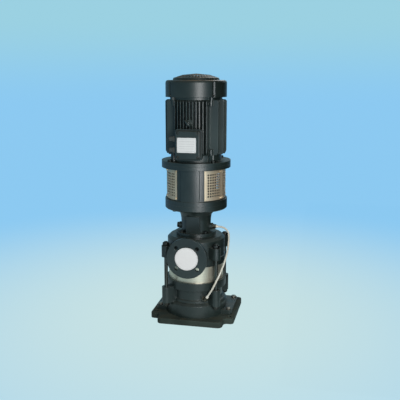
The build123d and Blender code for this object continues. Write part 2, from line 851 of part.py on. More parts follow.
def coupling_guard(side):
    """The punched panels over one window of the stool, side by side; side is 0 for the right and 180 for the left."""
    mid_radius = stool_radius + guard_gap + guard_thickness / 2
    pitch_angle = math.degrees(punch_pitch / mid_radius)
    mid_level = (stool_foot_top + stool_head_foot) / 2
    with BuildPart() as guard:
        punches = []
        for middle in panel_middles:
            with BuildSketch(Plane.XY.offset(stool_foot_top + guard_rim)):
                with BuildLine(mode=Mode.PRIVATE) as bend:
                    CenterArc((0, 0), mid_radius, side + middle - panel_angle / 2, panel_angle)
                trace(bend.line, guard_thickness)
            extrude(amount=stool_window_height - 2 * guard_rim)
            for row in range(punch_rows):
                level = mid_level + (row - (punch_rows - 1) / 2) * punch_pitch
                for column in range(punch_columns):
                    angle = side + middle + (column - (punch_columns - 1) / 2) * pitch_angle
                    punches.append(radial(angle, mid_radius, level))
        with Locations(*punches):
            Box(punch_size, punch_size, 4 * guard_thickness, mode=Mode.SUBTRACT)
        for middle in panel_middles:
            for turn, level in guard_screw_places:
                with BuildSketch(radial(side + middle + turn, stool_radius - 1, level)):
                    Circle(guard_screw_radius + screw_slip)
                extrude(amount=6, mode=Mode.SUBTRACT)
    return guard


keep(coupling_guard(0), "coupling_guard_right")
keep(coupling_guard(180), "coupling_guard_left")

guard_screw = pan_screw(guard_screw_radius, 8, 4.5, 2.6)
guard_face = stool_radius + guard_gap + guard_thickness
with BuildPart() as guard_screws:
    for side in (0, 180):
        for middle in panel_middles:
            for turn, level in guard_screw_places:
                with Locations(radial(side + middle + turn, guard_face, level)):
                    add(guard_screw)
keep(guard_screws, "guard_screws")

stool_bolt = hex_bolt(head_bolt_radius, neck_head_height + head_bolt_depth - 1, 19, 8)
with BuildPart() as stool_bolts:
    with Locations(Plane(origin=(0, 0, neck_cone_top), x_dir=(1, 0, 0), z_dir=(0, 0, -1))):
        with PolarLocations(head_bolt_circle, 4, start_angle=45):
            add(stool_bolt)
keep(stool_bolts, "stool_bolts")

# ================================================================ shaft coupling
coupling_top = coupling_foot + coupling_height
key_foot = motor_shaft_foot + 6.0
key_root = motor_stub_radius - 5.0
bolt_levels = (coupling_foot + 20, coupling_top - 20)


def coupling_half(direction):
    """Half of the split coupling; direction is -1 for the front half and 1 for the back one."""
    with BuildPart() as half:
        turned(
            (pump_shaft_radius + slip, coupling_foot),
            (coupling_radius - 2, coupling_foot),
            (coupling_radius, coupling_foot + 2),
            (coupling_radius, coupling_top - 2),
            (coupling_radius - 2, coupling_top),
            (motor_stub_radius + slip, coupling_top),
            (motor_stub_radius + slip, motor_shaft_foot - shaft_gap / 2),
            (pump_shaft_radius + slip, motor_shaft_foot - shaft_gap / 2),
        )
        with BuildSketch(Plane.XY.offset(coupling_foot - 1)):
            with Locations((0, direction * (coupling_radius + coupling_split / 2))):
                Rectangle(4 * coupling_radius, 2 * coupling_radius)
        extrude(amount=coupling_height + 2, mode=Mode.INTERSECT)
        bolt_places = [(x, z) for x in (-coupling_bolt_x, coupling_bolt_x) for z in bolt_levels]
        with BuildSketch(front.offset(-coupling_radius)):
            with Locations(*bolt_places):
                Circle(coupling_bolt_radius + screw_slip)
        extrude(amount=2 * coupling_radius, mode=Mode.SUBTRACT)
        with BuildSketch(front.offset(coupling_bolt_reach - coupling_bolt_head_height)):
            with Locations(*bolt_places):
                Circle(coupling_bolt_head_radius + screw_slip)
        extrude(amount=coupling_radius, mode=Mode.SUBTRACT)
        with BuildSketch(Plane.XY.offset(key_foot - 1)):
            with Locations((0, motor_stub_radius)):
                Rectangle(key_width + 2 * slip, 2 * (key_height - 5 + slip))
        extrude(amount=coupling_height, mode=Mode.SUBTRACT)
    return half


keep(coupling_half(-1), "coupling_front_half")
keep(coupling_half(1), "coupling_back_half")

with BuildPart() as coupling_bolts:
    for level in bolt_levels:
        for x in (-coupling_bolt_x, coupling_bolt_x):
            head_seat = coupling_bolt_reach - coupling_bolt_head_height
            with BuildSketch(front.offset(head_seat)):
                with Locations((x, level)):
                    Circle(coupling_bolt_head_radius)
                    RegularPolygon(3.4, 6, mode=Mode.SUBTRACT)
            extrude(amount=coupling_bolt_head_height)
            with BuildSketch(front.offset(head_seat)):
                with Locations((x, level)):
                    Circle(coupling_bolt_head_radius)
            extrude(amount=2)
            with BuildSketch(front.offset(head_seat)):
                with Locations((x, level)):
                    Circle(coupling_bolt_radius)
            extrude(amount=-head_seat - coupling_bolt_reach)
keep(coupling_bolts, "coupling_bolts")

with BuildPart() as coupling_key:
    with BuildSketch(Plane.XY.offset(key_foot)):
        with Locations((0, key_root + key_height / 2)):
            Rectangle(key_width, key_height)
    extrude(amount=key_length)
keep(coupling_key, "coupling_key")

# ================================================================ motor shaft and rotor
fan_seat_foot = fan_shield_top + 6.0
motor_shaft_top = fan_seat_foot + 36.0
with BuildPart() as motor_shaft:
    turned(
        (0, motor_shaft_foot),
        (motor_stub_radius, motor_shaft_foot),
        (motor_stub_radius, stool_top + 4),
        (journal_radius, stool_top + 4),
        (journal_radius, core_foot - 14),
        (core_seat_radius, core_foot - 14),
        (core_seat_radius, core_top + 6),
        (journal_radius, core_top + 6),
        (journal_radius, fan_seat_foot),
        (fan_seat_radius, fan_seat_foot),
        (fan_seat_radius, motor_shaft_top),
        (0, motor_shaft_top),
    )
    with BuildSketch(Plane.XY.offset(key_foot)):
        with Locations((0, key_root + key_height / 2)):
            Rectangle(key_width, key_height)
    extrude(amount=key_length, mode=Mode.SUBTRACT)
keep(motor_shaft, "motor_shaft")

with BuildPart() as rotor_core:
    ring(rotor_radius, core_seat_radius + slip, core_foot + 2, core_top - 2)
    ring(rotor_radius, end_ring_radius, core_foot + 2 - end_ring_height, core_foot + 2)
    ring(rotor_radius, end_ring_radius, core_top - 2, core_top - 2 + end_ring_height)
keep(rotor_core, "rotor_core")

with BuildPart() as stator_core:
    ring(frame_bore_radius - slip, rotor_radius + air_gap, core_foot, core_top)
keep(stator_core, "stator_core")

with BuildPart() as stator_windings:
    for coil_foot in (core_foot - coil_height, core_top):
        turned(
            (rotor_radius + 6, coil_foot),
            (frame_bore_radius - 4, coil_foot),
            (frame_bore_radius - 4, coil_foot + coil_height),
            (rotor_radius + 6, coil_foot + coil_height),
        )
keep(stator_windings, "stator_windings")

# ================================================================ ball bearings
bearing_levels = (drive_bearing_level, fan_bearing_level)


def race(outer, inner, level):
    """Adds one bearing ring with its ball track."""
    ring(outer, inner, level - bearing_width / 2, level + bearing_width / 2)
    with BuildSketch(Plane.XZ) as track:
        with Locations((ball_pitch_radius, level)):
            Circle(ball_radius + ball_gap)
    revolve(track.sketch, axis=Axis.Z, mode=Mode.SUBTRACT)


with BuildPart() as bearing_outer_rings:
    for level in bearing_levels:
        race(bearing_radius, race_outer_bottom, level)
keep(bearing_outer_rings, "bearing_outer_rings")

with BuildPart() as bearing_inner_rings:
    for level in bearing_levels:
        race(race_inner_top, bearing_bore + 0.02, level)
keep(bearing_inner_rings, "bearing_inner_rings")

with BuildPart() as bearing_balls:
    for level in bearing_levels:
        with Locations((0, 0, level)):
            with PolarLocations(ball_pitch_radius, ball_count):
                Sphere(ball_radius)
keep(bearing_balls, "bearing_balls")

# ================================================================ motor housing
with BuildPart() as drive_endshield:
    turned(
        (journal_radius + 1, stool_top - motor_spigot_height),
        (motor_spigot_radius, stool_top - motor_spigot_height),
        (motor_spigot_radius, stool_top),
        (motor_flange_radius, stool_top),
        (motor_flange_radius, motor_flange_top),
        (shield_radius, motor_flange_top),
        (shield_radius, frame_foot),
        (shield_radius - shield_wall, frame_foot),
        (shield_radius - shield_wall, motor_flange_top),
        (housing_radius, motor_flange_top),
        (housing_radius, frame_foot - 1),
        (bearing_radius + slip, frame_foot - 1),
        (bearing_radius + slip, drive_bearing_level - bearing_width / 2),
        (journal_radius + 1, drive_bearing_level - bearing_width / 2),
    )
    lugs(motor_bolt_circle - 18, 12, motor_flange_top, shield_height, shield_radius - 10)
    diagonal_holes(motor_bolt_circle, motor_bolt_radius + 1.25, stool_top - 1, motor_flange_height + 2)
    diagonal_holes(motor_bolt_circle, 13, motor_flange_top, shield_height + 1)
keep(drive_endshield, "drive_endshield")

with BuildPart() as motor_bolts:
    with Locations((0, 0, motor_flange_top)):
        with PolarLocations(motor_bolt_circle, 4, start_angle=45):
            add(hex_bolt(motor_bolt_radius, motor_flange_height + stool_head_height - 1, 19, 8))
keep(motor_bolts, "motor_bolts")

with BuildPart() as motor_frame:
    with BuildSketch(Plane.XY.offset(frame_foot)):
        with GridLocations(front_fin_pitch, 1, front_fins, 1):
            Rectangle(fin_thickness, 2 * fin_reach)
        with GridLocations(1, side_fin_pitch, 1, side_fins):
            Rectangle(2 * fin_reach, fin_thickness)
        Circle(frame_radius)
    extrude(amount=frame_height)
    turned(
        (0, frame_foot),
        (fin_reach - fin_end_chamfer, frame_foot),
        (fin_reach, frame_foot + 2 * fin_end_chamfer),
        (fin_reach, frame_top - fin_end_chamfer),
        (fin_reach - fin_end_chamfer, frame_top),
        (0, frame_top),
        mode=Mode.INTERSECT,
    )
    with BuildSketch(front.offset(frame_bore_radius + 2)):
        with Locations((0, box_level)):
            RectangleRounded(box_width - 2 * box_inset, box_height - 2 * box_inset_foot, 10)
    extrude(amount=box_back - frame_bore_radius - 2)
    with BuildSketch(front.offset(frame_bore_radius + 2)):
        with Locations((0, eye_level)):
            Circle(eye_boss_radius)
    extrude(amount=box_back - frame_bore_radius - 2)
    lugs(frame_radius + 8, 9, frame_top - 24, 24, frame_radius - 8)
    lugs(frame_radius + 8, 9, frame_foot, 24, frame_radius - 8)
    with BuildSketch(Plane.XY.offset(frame_foot - 1)):
        Circle(frame_bore_radius)
    extrude(amount=frame_height + 2, mode=Mode.SUBTRACT)
    with BuildSketch(front.offset(box_back - 20)):
        with Locations((0, eye_level)):
            Circle(5.1)
    extrude(amount=21, mode=Mode.SUBTRACT)
keep(motor_frame, "motor_frame")

fan_housing_foot = fan_bearing_level - bearing_width / 2
ear_face = flute_circle - flute_radius - cowl_wall - slip
with BuildPart() as fan_endshield:
    turned(
        (journal_radius + 1, fan_bearing_level + bearing_width / 2),
        (bearing_radius + slip, fan_bearing_level + bearing_width / 2),
        (bearing_radius + slip, fan_housing_foot),
        (housing_radius, fan_housing_foot),
        (housing_radius, frame_top),
        (fan_shield_radius, frame_top),
        (fan_shield_radius, fan_shield_top),
        (journal_radius + 1, fan_shield_top),
    )
    lugs(ear_face - ear_radius, ear_radius, frame_top, fan_shield_height + 14, fan_shield_radius - 8)
    for corner in diagonals:
        with BuildSketch(radial(corner, ear_face - 12, cowl_foot + cowl_screw_lift)):
            Circle(2.5 + slip)
        extrude(amount=20, mode=Mode.SUBTRACT)
keep(fan_endshield, "fan_endshield")

# ================================================================ fan and cowl
with BuildPart() as cooling_fan:
    fan_foot = fan_shield_top + 16.0
    ring(fan_hub_radius, fan_seat_radius + 0.05, fan_foot - 4, fan_foot + fan_blade_height - 8)
    ring(fan_radius - 6, fan_seat_radius + 0.05, fan_foot, fan_foot + 3)
    with BuildSketch(Plane.XY.offset(fan_foot)):
        with PolarLocations((fan_hub_radius + fan_radius) / 2 - 1, fan_blades):
            Rectangle(fan_radius - fan_hub_radius + 2, 3)
    extrude(amount=fan_blade_height)
keep(cooling_fan, "cooling_fan")


def cowl_outline(inset):
    """The cowl's outline as (radius, height) points, drawn in from its outside by the inset."""
    return (
        (0, cowl_foot - inset),
        (cowl_radius - inset, cowl_foot - inset),
        (cowl_radius - inset, cowl_top - cowl_shoulder - 0.4 * inset),
        (cowl_radius - 0.3 * cowl_shoulder - 0.7 * inset, cowl_top - 0.3 * cowl_shoulder - 0.7 * inset),
        (cowl_radius - cowl_shoulder - 0.4 * inset, cowl_top - inset),
        (dome_radius + 3 - inset, cowl_top - inset),
        (dome_radius - inset, cowl_top + dome_step - inset),
        (0.6 * dome_radius, cowl_top + dome_step + 0.7 * dome_rise - inset),
        (0, cowl_top + dome_step + dome_rise - inset),
    )


with BuildPart() as cowl_hollow:
    turned(*cowl_outline(cowl_wall))
    with BuildSketch(Plane.XY.offset(cowl_foot - 5)):
        with PolarLocations(flute_circle, 4, start_angle=45):
            Circle(flute_radius + cowl_wall)
    extrude(amount=cowl_height, mode=Mode.SUBTRACT)

with BuildPart() as fan_cowl:
    turned(*cowl_outline(0))
    with BuildSketch(Plane.XY.offset(cowl_foot - 5)):
        with PolarLocations(flute_circle, 4, start_angle=45):
            Circle(flute_radius)
    extrude(amount=cowl_height - cowl_wall, mode=Mode.SUBTRACT)
    add(cowl_hollow.part, mode=Mode.SUBTRACT)
    with BuildSketch(Plane.XY.offset(cowl_top)):
        for slot_circle, slot_count in ((60, 30), (82, 40)):
            with PolarLocations(slot_circle, slot_count):
                SlotOverall(17, 4)
    extrude(amount=dome_step + dome_rise + 5, mode=Mode.SUBTRACT)
    for corner in diagonals:
        with BuildSketch(radial(corner, ear_face - 1, cowl_foot + cowl_screw_lift)):
            Circle(2.5 + screw_slip)
        extrude(amount=20, mode=Mode.SUBTRACT)
keep(fan_cowl, "fan_cowl")

cowl_screw_seat = flute_circle - math.sqrt(flute_radius**2 - cowl_screw_head**2) + 0.02
with BuildPart() as cowl_screws:
    for corner in diagonals:
        with Locations(radial(corner, cowl_screw_seat, cowl_foot + cowl_screw_lift)):
            add(pan_screw(2.5, 12, cowl_screw_head, 3))
keep(cowl_screws, "cowl_screws")

# ================================================================ terminal box
box_front = box_back + box_depth
with BuildPart() as terminal_box:
    with BuildSketch(front.offset(box_back)):
        with Locations((0, box_level)):
            RectangleRounded(box_width, box_height, 10)
    extrude(amount=box_depth)
    with BuildSketch(front.offset(box_back + box_wall)):
        with Locations((0, box_level)):
            RectangleRounded(box_width - 2 * box_wall, box_height - 2 * box_wall, 6)
    extrude(amount=box_depth, mode=Mode.SUBTRACT)
    lid_screw_places = [
        (x * (lid_width / 2 - 9), box_level + z * (lid_height / 2 - 9)) for x in (-1, 1) for z in (-1, 1)
    ]
    with BuildSketch(front.offset(box_back + box_wall - 1)):
        with Locations(*lid_screw_places):
            Circle(7)
        with Locations((0, box_level)):
            RectangleRounded(box_width - 2 * box_wall + 1, box_height - 2 * box_wall + 1, 6, mode=Mode.INTERSECT)
    extrude(amount=box_depth - box_wall + 1)
    with BuildSketch(front.offset(box_front - 16)):
        with Locations(*lid_screw_places):
            Circle(2.5 + slip)
    extrude(amount=17, mode=Mode.SUBTRACT)
    with BuildSketch(Plane.YZ.offset(-box_width / 2 - 1)):
        with Locations((-box_back - box_depth / 2, box_level)):
            with GridLocations(1, cable_plug_spacing, 1, 2):
                Circle(8)
    extrude(amount=box_wall + 2, mode=Mode.SUBTRACT)
keep(terminal_box, "terminal_box")

with BuildPart() as terminal_lid:
    with BuildSketch(front.offset(box_front)):
        with Locations((0, box_level)):
            RectangleRounded(lid_width, lid_height, 9)
    extrude(amount=lid_depth)
    fillet(terminal_lid.faces().sort_by(Axis.Y)[0].edges(), 4)
    with BuildSketch(front.offset(box_front - 1)):
        with Locations(*lid_screw_places):
            Circle(2.5 + screw_slip)
    extrude(amount=lid_depth + 2, mode=Mode.SUBTRACT)
    with BuildSketch(front.offset(box_front + lid_depth - 5)):
        with Locations(*lid_screw_places):
            Circle(6)
    extrude(amount=6, mode=Mode.SUBTRACT)
keep(terminal_lid, "terminal_lid")

with BuildPart() as lid_screws:
    for x, z in lid_screw_places:
        with Locations(Plane(origin=(x, -box_front - lid_depth + 5, z), x_dir=(1, 0, 0), z_dir=(0, -1, 0))):
            add(pan_screw(2.5, 22, 4.8, 3.6))
keep(lid_screws, "lid_screws")

with BuildPart() as rating_plate:
    with BuildSketch(front.offset(box_front + lid_depth)):
        with Locations((-label_shift, box_level)):
            RectangleRounded(label_width, label_height, 1.5)
    extrude(amount=label_thickness)
keep(rating_plate, "rating_plate")

with BuildPart() as terminal_block:
    with BuildSketch(front.offset(box_back + box_wall)):
        with Locations((0, box_level)):
            Rectangle(66, 34)
    extrude(amount=8)
    with BuildSketch(front.offset(box_back + box_wall + 7)):
        with Locations((0, box_level)):
            with GridLocations(22, 20, 3, 2):
                Circle(2.5)
    extrude(amount=9)
keep(terminal_block, "terminal_block")

with BuildPart() as cable_plugs:
    for z in (-cable_plug_spacing / 2, cable_plug_spacing / 2):
        place = Plane(
            origin=(-box_width / 2, -box_back - box_depth / 2, box_level + z), x_dir=(0, -1, 0), z_dir=(-1, 0, 0)
        )
        with BuildSketch(place):
            RegularPolygon(cable_plug_radius, 6, major_radius=False)
        extrude(amount=10)
        with BuildSketch(place.offset(10)):
            Circle(cable_plug_radius - 1)
        extrude(amount=16, taper=6)
        with BuildSketch(place):
            Circle(8 - slip)
        extrude(amount=-box_wall)
keep(cable_plugs, "cable_plugs")

# ================================================================ lifting eye
eye_collar = 5.0
eye_centre = box_back + eye_collar + eye_ring_radius
with BuildPart() as lifting_eye:
    with BuildSketch(front.offset(box_back)):
        with Locations((0, eye_level)):
            Circle(10)
    extrude(amount=eye_collar)
    with BuildSketch(front.offset(box_back)):
        with Locations((0, eye_level)):
            Circle(5)
    extrude(amount=-18)
    tilt = Plane(origin=(0, -eye_centre, eye_level), x_dir=(0, -1, 0), z_dir=(math.sqrt(0.5), 0, math.sqrt(0.5)))
    with Locations(tilt):
        Torus(eye_ring_radius, eye_bar_radius)
keep(lifting_eye, "lifting_eye")

# ================================================================ balance tube and its fittings
with BuildPart() as upper_tube_fitting:
    with BuildSketch(Plane.YZ.offset(boss_reach)):
        with Locations((0, port_level)):
            RegularPolygon(10, 6, major_radius=False)
    extrude(amount=7)
    with BuildSketch(Plane.YZ.offset(boss_reach + 7)):
        with Locations((0, port_level)):
            RegularPolygon(8.5, 6, major_radius=False)
    extrude(amount=tube_exit - boss_reach - 7)
    with BuildSketch(Plane.YZ.offset(boss_reach)):
        with Locations((0, port_level)):
            Circle(tapping_radius - slip)
    extrude(amount=-12)
keep(upper_tube_fitting, "upper_tube_fitting")

elbow_level = drum_top + lower_port_lift
elbow_angle = math.radians(lower_port_angle)
elbow = Vector(lower_elbow_reach * math.sin(elbow_angle), -lower_elbow_reach * math.cos(elbow_angle), elbow_level)
route = [
    Vector(tube_exit, 0, port_level),
    Vector(118, 0, port_level),
    Vector(140, -7, 400),
    Vector(153, -20, 381),
    Vector(153, -57, 322),
    Vector(144, -86, 276),
    Vector(131, -111, 236),
    Vector(114, -131, 197),
    Vector(97, -140, 161),
]
lead_in = (route[-1] - elbow).normalized()
tube_end = elbow + lead_in * 16.0
route.append(tube_end)

radii = []
for before, corner, after in zip(route, route[1:], route[2:]):
    turn_angle = math.radians((corner - before).get_angle(after - corner))
    shorter = min((corner - before).length, (after - corner).length)
    radii.append(0.45 * shorter / math.tan(turn_angle / 2))
print("tube bend radii", [round(r) for r in radii])

with BuildPart() as balance_tube:
    with BuildLine() as tube_line:
        FilletPolyline(*route, radius=radii)
    with BuildSketch(Plane(origin=route[0], x_dir=(0, 1, 0), z_dir=(1, 0, 0))):
        Circle(tube_radius)
    sweep()
tube_length = sum(edge.length for edge in tube_line.edges())
tube_share = balance_tube.part.volume / (tube_length * math.pi * tube_radius**2)
print("tube length", round(tube_length, 1), "volume share", round(tube_share, 4))
keep(balance_tube, "balance_tube")

with BuildPart() as lower_tube_fitting:
    with BuildSketch(lower_port.offset(throat_radius + 6)):
        RegularPolygon(9, 6, major_radius=False)
    extrude(amount=7)
    with BuildSketch(lower_port.offset(throat_radius + 6)):
        Circle(6.5)
    extrude(amount=lower_elbow_reach - throat_radius - 6)
    with BuildSketch(lower_port.offset(throat_radius + 6)):
        Circle(tapping_radius - slip)
    extrude(amount=-12)
    with Locations(elbow):
        Sphere(7.5)
    with BuildSketch(Plane(origin=elbow, z_dir=lead_in)):
        Circle(6.5)
    extrude(amount=9)
    with BuildSketch(Plane(origin=elbow + lead_in * 7, z_dir=lead_in)):
        RegularPolygon(8, 6, major_radius=False)
    extrude(amount=9)
keep(lower_tube_fitting, "lower_tube_fitting")
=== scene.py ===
"""Finishes and fine pieces for a vertical multistage pump with a flanged motor.

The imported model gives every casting, shaft and sheet. This file adds the turned nuts, washers, rivets, gasket
and tube that the model keeps plain, and a worked finish for each piece. Lengths are in metres.
"""

from __future__ import annotations

import logging
import math
from dataclasses import dataclass, field
from enum import Enum
from typing import Iterable, Sequence

import bmesh
import bpy
import numpy as np
from mathutils import Matrix, Vector

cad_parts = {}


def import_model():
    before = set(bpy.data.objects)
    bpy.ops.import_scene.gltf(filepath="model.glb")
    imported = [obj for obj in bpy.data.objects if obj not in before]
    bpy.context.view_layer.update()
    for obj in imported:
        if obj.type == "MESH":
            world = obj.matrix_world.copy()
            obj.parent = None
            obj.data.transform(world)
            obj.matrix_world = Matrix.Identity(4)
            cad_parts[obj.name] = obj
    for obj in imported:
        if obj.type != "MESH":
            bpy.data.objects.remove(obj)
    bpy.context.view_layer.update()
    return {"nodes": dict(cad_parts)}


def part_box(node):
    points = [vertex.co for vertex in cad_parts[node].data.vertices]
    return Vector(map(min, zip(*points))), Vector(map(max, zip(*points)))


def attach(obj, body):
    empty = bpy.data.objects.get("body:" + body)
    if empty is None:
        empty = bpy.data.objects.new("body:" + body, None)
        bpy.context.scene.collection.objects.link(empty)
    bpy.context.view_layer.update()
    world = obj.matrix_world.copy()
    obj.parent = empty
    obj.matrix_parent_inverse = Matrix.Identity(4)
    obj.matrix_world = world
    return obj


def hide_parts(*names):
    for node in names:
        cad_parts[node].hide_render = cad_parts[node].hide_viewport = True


LOG = logging.getLogger("pump")
MM = 0.001
HOUSING = "housing"
DOWN = (0.0, 0.0, -1.0)
Rgb = tuple[float, float, float]
Point = tuple[float, float, float]
Profile = Sequence[tuple[float, float]]


def linear(red: int, green: int, blue: int) -> Rgb:
    """Turns a colour written as 0 to 255 display values into the linear values that a shader takes.

    Args:
        red: Display red.
        green: Display green.
        blue: Display blue.

    Returns:
        The same colour as three linear values.
    """
    shares = np.array([red, green, blue]) / 255.0
    made = np.where(shares <= 0.04045, shares / 12.92, ((shares + 0.055) / 1.055) ** 2.4)
    return (float(made[0]), float(made[1]), float(made[2]))


# ------------------------------------------------------------------------------------------ shader maths
class Wire:
    """A node's output that takes ordinary arithmetic; each operation adds one Math node."""

    def __init__(self, bench: Bench, socket: bpy.types.NodeSocket) -> None:
        """Keeps the output and the bench it belongs to."""
        self.bench = bench
        self.socket = socket

    def _math(self, operation: str, first: Wire | float, second: Wire | float = 0.0) -> Wire:
        """Adds a Math node.

        Args:
            operation: The node's operation.
            first: Its first value.
            second: Its second value.

        Returns:
            The node's result.
        """
        return self.bench.wire("ShaderNodeMath", {"operation": operation}, {0: first, 1: second})

    def __add__(self, other: Wire | float) -> Wire:
        """Sum."""
        return self._math("ADD", self, other)

    __radd__ = __add__

    def __sub__(self, other: Wire | float) -> Wire:
        """Difference."""
        return self._math("SUBTRACT", self, other)

    def __rsub__(self, other: Wire | float) -> Wire:
        """Difference from a number."""
        return self._math("SUBTRACT", other, self)

    def __mul__(self, other: Wire | float) -> Wire:
        """Product."""
        return self._math("MULTIPLY", self, other)

    __rmul__ = __mul__

    def __pow__(self, other: float) -> Wire:
        """Power."""
        return self._math("POWER", self, other)

    def fraction(self) -> Wire:
        """What is left after the whole number."""
        return self._math("FRACT", self)

    def size(self) -> Wire:
        """Absolute value."""
        return self._math("ABSOLUTE", self)

    def below(self, limit: float) -> Wire:
        """One where the value is under the limit, and nought elsewhere."""
        return self._math("LESS_THAN", self, limit)

    def ramp(self, low: float, high: float) -> Wire:
        """Rises smoothly from nought at low to one at high.

        Args:
            low: Where it leaves nought.
            high: Where it reaches one.

        Returns:
            The smooth step.
        """
        settings = {"interpolation_type": "SMOOTHSTEP"}
        return self.bench.wire("ShaderNodeMapRange", settings, {0: self, 1: low, 2: high})


Value = Wire | float | int | Sequence[float]
Inputs = dict[int | str, Value]


class Bench:
    """One material under construction, and the one place where its nodes are added."""

    def __init__(self, name: str) -> None:
        """Starts a material with nothing in its tree.

        Args:
            name: The material's name.
        """
        self.material = bpy.data.materials.new(name)
        self.material.use_nodes = True
        self.tree = self.material.node_tree
        self.tree.nodes.clear()

    def node(
        self, kind: str, settings: dict[str, object] | None = None, inputs: Inputs | None = None
    ) -> bpy.types.Node:
        """Adds any node.

        Args:
            kind: The node's type.
            settings: Its own properties, set before anything is plugged in.
            inputs: Values or wires for its sockets, by name or place.

        Returns:
            The new node.
        """
        made = self.tree.nodes.new(kind)
        for key, value in (settings or {}).items():
            setattr(made, key, value)
        for key, value in (inputs or {}).items():
            if isinstance(value, Wire):
                self.tree.links.new(value.socket, made.inputs[key])
            elif isinstance(value, (int, float)):
                made.inputs[key].default_value = value
            else:
                width = len(made.inputs[key].default_value)
                made.inputs[key].default_value = tuple(value) + (1.0,) * (width - len(value))
        return made

    def wire(self, kind: str, settings: dict[str, object], inputs: Inputs, out: int | str = 0) -> Wire:
        """Adds a node and gives one of its outputs.

        Args:
            kind: The node's type.
            settings: Its own properties.
            inputs: Values or wires for its sockets.
            out: The output's name or place.

        Returns:
            That output.
        """
        return Wire(self, self.node(kind, settings, inputs).outputs[out])

    def place(self) -> Wire:
        """The point on the piece, in metres."""
        return self.wire("ShaderNodeTexCoord", {}, {}, "Object")

    def part(self, vector: Wire) -> tuple[Wire, Wire, Wire]:
        """Splits a vector into its three numbers."""
        split = self.node("ShaderNodeSeparateXYZ", {}, {0: vector})
        return Wire(self, split.outputs[0]), Wire(self, split.outputs[1]), Wire(self, split.outputs[2])

    def noise(self, scale: float, stretch: Point = (1.0, 1.0, 1.0), detail: float = 3.0) -> Wire:
        """Smooth random values about one half.

        Args:
            scale: How many features there are to the metre.
            stretch: Extra scale along each axis, which makes streaks.
            detail: How many finer layers there are.

        Returns:
            The value.
        """
        spot = self.wire("ShaderNodeMapping", {}, {"Vector": self.place(), "Scale": stretch})
        return self.wire("ShaderNodeTexNoise", {}, {"Vector": spot, "Scale": scale, "Detail": detail})

    def blend(self, share: Wire | float, first: Value, second: Value) -> Wire:
        """Mixes two colours.

        Args:
            share: How much of the second colour there is.
            first: The first colour.
            second: The second colour.

        Returns:
            The mixed colour.
        """
        settings = {"data_type": "RGBA"}
        return self.wire("ShaderNodeMix", settings, {0: share, 6: first, 7: second}, 2)

    def from_axis(self) -> Wire:
        """How far the point is from the machine's upright axis: the root of the sum of two squares."""
        across, deep, _ = self.part(self.place())
        return (across**2.0 + deep**2.0) ** 0.5

    def facing(self) -> Wire:
        """The way the open face looks."""
        return self.wire("ShaderNodeNewGeometry", {}, {}, "Normal")

    def rounded(self, radius: float) -> Wire:
        """The surface's normal, turned over its edges as if they had that radius."""
        return self.wire("ShaderNodeBevel", {"samples": 4}, {"Radius": radius})

    def edges(self, radius: float) -> Wire:
        """One on sharp edges and nought on open faces, from how far the rounded normal leans."""
        settings = {"operation": "DOT_PRODUCT"}
        lean = self.wire("ShaderNodeVectorMath", settings, {0: self.rounded(radius), 1: self.facing()}, 1)
        return (1.0 - lean).ramp(0.02, 0.22)

    def bumped(self, height: Wire, depth: float, radius: float = 0.0) -> Wire:
        """A normal that follows a height.

        Args:
            height: The height, from nought to one.
            depth: How deep one is, in metres.
            radius: The radius its edges seem to have.

        Returns:
            The normal.
        """
        inputs: Inputs = {"Height": height, "Distance": depth, "Strength": 1.0}
        if radius:
            inputs["Normal"] = self.rounded(radius)
        return self.wire("ShaderNodeBump", {}, inputs)

    def finish(self, **sockets: Value) -> bpy.types.Material:
        """Ends the tree in the surface shader.

        Args:
            **sockets: Values or wires, with underscores for the spaces in the sockets' names.

        Returns:
            The finished material.
        """
        inputs: Inputs = {key.replace("_", " "): value for key, value in sockets.items()}
        shader = self.wire("ShaderNodeBsdfPrincipled", {}, inputs)
        self.node("ShaderNodeOutputMaterial", {}, {"Surface": shader})
        return self.material


# ------------------------------------------------------------------------------------------ finishes
@dataclass(frozen=True)
class Finish:
    """What every finish has: a name, a colour and a gloss."""

    name: str
    colour: Rgb
    roughness: float = 0.5

    def shaded(self, share: float) -> Rgb:
        """The colour made darker or lighter by a share, and never past white."""
        return tuple(min(1.0, share * c) for c in self.colour)

    def material(self) -> bpy.types.Material:
        """Builds the material."""
        raise NotImplementedError


